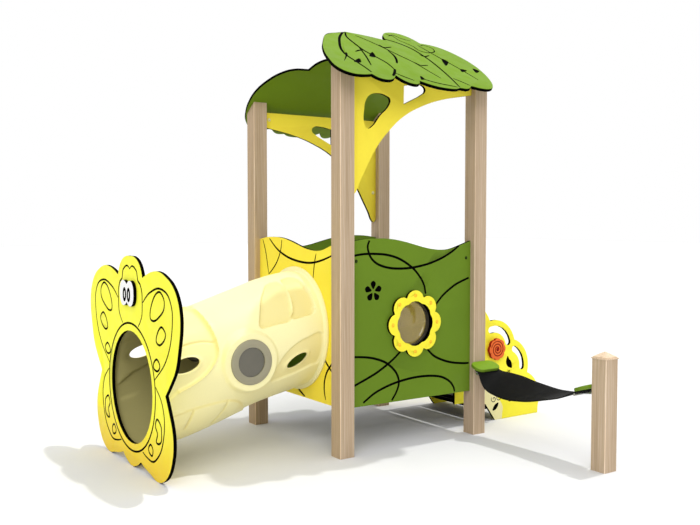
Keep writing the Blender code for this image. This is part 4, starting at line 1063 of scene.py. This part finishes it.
def sling():
    """The belt: the node's hanging sheet, made smooth."""
    source = NODES["sling_sheet"]
    made = linked("sling_belt", source.data.copy())
    shape = bmesh.new()
    shape.from_mesh(made.data)
    bmesh.ops.remove_doubles(shape, verts=shape.verts, dist=0.00001)
    bmesh.ops.join_triangles(shape, faces=shape.faces, angle_face_threshold=math.radians(25),
                             angle_shape_threshold=math.radians(35))
    crease = shape.edges.layers.float.get("crease_edge") or shape.edges.layers.float.new("crease_edge")
    for side in shape.edges:
        if len(side.link_faces) == 2 and side.calc_face_angle(0) > math.radians(60):
            side[crease] = 0.7
    shape.to_mesh(made.data)
    shape.free()
    finer = made.modifiers.new("Finer", "SUBSURF")
    finer.levels = 2
    finer.render_levels = 2
    bake(made)
    coat(made, BELT)
    made.data.shade_smooth()
    made.data.set_sharp_from_angle(angle=math.radians(50))
    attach(made, "structure")
    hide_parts("sling_sheet")


sling()
for name in ("sling_cover_tower", "sling_cover_post"):
    top = max(NODES[name].data.polygons, key=lambda face: face.area * (face.normal.z > 0.3))
    dressed_plate(name, facing(*top.center, top.normal), LEAF, core=GREEN, edge=0.003)


# Fasteners

def caps(name, plane, spots, radius, height, material, lift=-0.0002):
    """Domed caps at places on a plane."""
    shape = bmesh.new()
    for x, z in spots:
        dome_nut(shape, plane @ Matrix.Translation((x, z, lift)), radius, height)
    piece(name, shape, [material], smooth=35)


for name, plane in (("front", FRONT), ("back", BACK)):
    caps("wall_caps_" + name, plane, [(-0.409, 1.090), (0.409, 1.090)], 0.0075, 0.007, CAP)
inner_front = plane_at(0, -WALL + PLATE, 0, (-1, 0, 0))
inner_back = plane_at(0, WALL - PLATE, 0, (1, 0, 0))
for name, plane in (("front", inner_front), ("back", inner_back)):
    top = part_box("arch_" + name)[1].z
    caps("nuts_arch_" + name, plane, [(0.42, top - 0.50), (0.42, top - 0.07), (-0.41, top - 0.045)], 0.0085,
         0.010, PALE_AND_PAINTED_LIGHT)
caps("gate_caps", GATE, circle(4, TUNNEL_RADIUS * 0.94, 0, TUNNEL_LOW, math.pi / 4), 0.0062, 0.005, YELLOW)
caps("window_caps", RING, heart_spots, 0.0060, 0.005, GOLD, -0.0010)

BOLT = [(0, 0), (0.0085, 0), (0.0085, 0.0012), (0.0062, 0.0012), (0.0062, 0.0048), (0.0052, 0.0056),
        (0, 0.0056)]
FLANGE, FROM_CORNER, FROM_END = 0.0042, 0.021, 0.016
heads = bmesh.new()
for name in NODES:
    if name.startswith(("clip_", "stair_clip_")):
        low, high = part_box(name)
        middle = (low + high) / 2
        across = 1 if middle.x < CENTRE.x or name.startswith("stair") else -1
        along = 1 if middle.y < CENTRE.y else -1
        x, y = low.x if across > 0 else high.x, low.y if along > 0 else high.y
        for height in (low.z + FROM_END, high.z - FROM_END):
            for place in (facing(x + across * FLANGE, y + along * FROM_CORNER, height, (across, 0, 0)),
                          facing(x + across * FROM_CORNER, y + along * FLANGE, height, (0, along, 0))):
                lathe(heads, BOLT, place, 6)
piece("clip_bolts", heads, [BRIGHT])


# Carried-over parts

TIMBER_SEEDS = {"post_front_left": 1.0, "post_front_right": 2.7, "post_back_left": 4.1, "post_back_right": 5.9,
                "post_short": 7.7, "post_short_cap": 9.2}
STEEL_PARTS = ("clip_", "stair_clip_", "deck_rail", "deck_joist", "sling_hanger")
for name, node in NODES.items():
    if name in TIMBER_SEEDS:
        low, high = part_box(name)
        coat(node, laminated_timber("timber_" + name, (low + high) / 2, TIMBER_SEEDS[name]))
    elif name.startswith(STEEL_PARTS):
        coat(node, STEEL)
coat(NODES["spinner_axle"], ORANGE_CORE)
coat(NODES["spinner_spacer"], BLACK_RUBBER)


# Floor, light and camera

SKY_TOP = 1.24


def stage():
    """A pale floor, and a sky that lights the object from above."""
    shape = bmesh.new()
    bmesh.ops.create_grid(shape, x_segments=8, y_segments=8, size=40)
    paint = Paint("floor_paper", (0.74, 0.74, 0.755, 1.0), 0.9, Specular_IOR_Level=0.1)
    paint.colour(paint.mix(paint.span(paint.noise(3.0, 2.0), 0.3, 0.7), (0.735, 0.737, 0.75, 1.0),
                           (0.745, 0.747, 0.76, 1.0)))
    floor = linked("floor", mesh_of("floor", shape, [paint.material]))
    floor.location = (0, 0, -0.0005)

    # The camera sees plain white, also in gloss and through glass.
    world = bpy.data.worlds.new("studio")
    bpy.context.scene.world = world
    world.use_nodes = True
    background = world.node_tree.nodes["Background"]
    sky = Nodes(world.node_tree, "Generated")
    path = sky.node("LightPath", {}).outputs
    seen = sky.maths("MAXIMUM", path["Is Camera Ray"], path["Is Transmission Ray"])
    seen = sky.maths("MAXIMUM", seen, path["Is Glossy Ray"])
    glow = sky.span(sky.split(sky.place)[2], -0.1, 0.9, 0.0, SKY_TOP, "LINEAR")
    sky.tree.links.new(sky.span(seen, 0.0, 1.0, glow, 1.0, "LINEAR"), background.inputs["Strength"])
    background.inputs["Color"].default_value = (1, 1, 1, 1)


def sun(name, towards, strength, soft, colour=(1, 1, 1)):
    data = bpy.data.lights.new(name, "SUN")
    data.energy, data.angle, data.color = strength, soft, colour
    linked(name, data).rotation_euler = Vector(towards).to_track_quat("Z", "Y").to_euler()


stage()
sun("key", (0.31, 0.0, 1.0), 1.3, 0.025, (1.0, 0.99, 0.97))
sun("fill", (-0.55, -0.72, 0.62), 1.15, 0.7)

FOCAL_PIXELS, PHOTO_WIDTH, SENSOR = 865.76, 700, 36
camera = linked("camera", bpy.data.cameras.new("camera"))
camera.location = CENTRE + Vector((-3.163, -4.459, 1.317))
camera.rotation_euler = (math.radians(90 - 2.77), 0, -math.radians(34.43))
camera.data.lens = FOCAL_PIXELS / PHOTO_WIDTH * SENSOR
camera.data.sensor_width = SENSOR
bpy.context.scene.camera = camera
bpy.context.scene.view_settings.view_transform = "Standard"
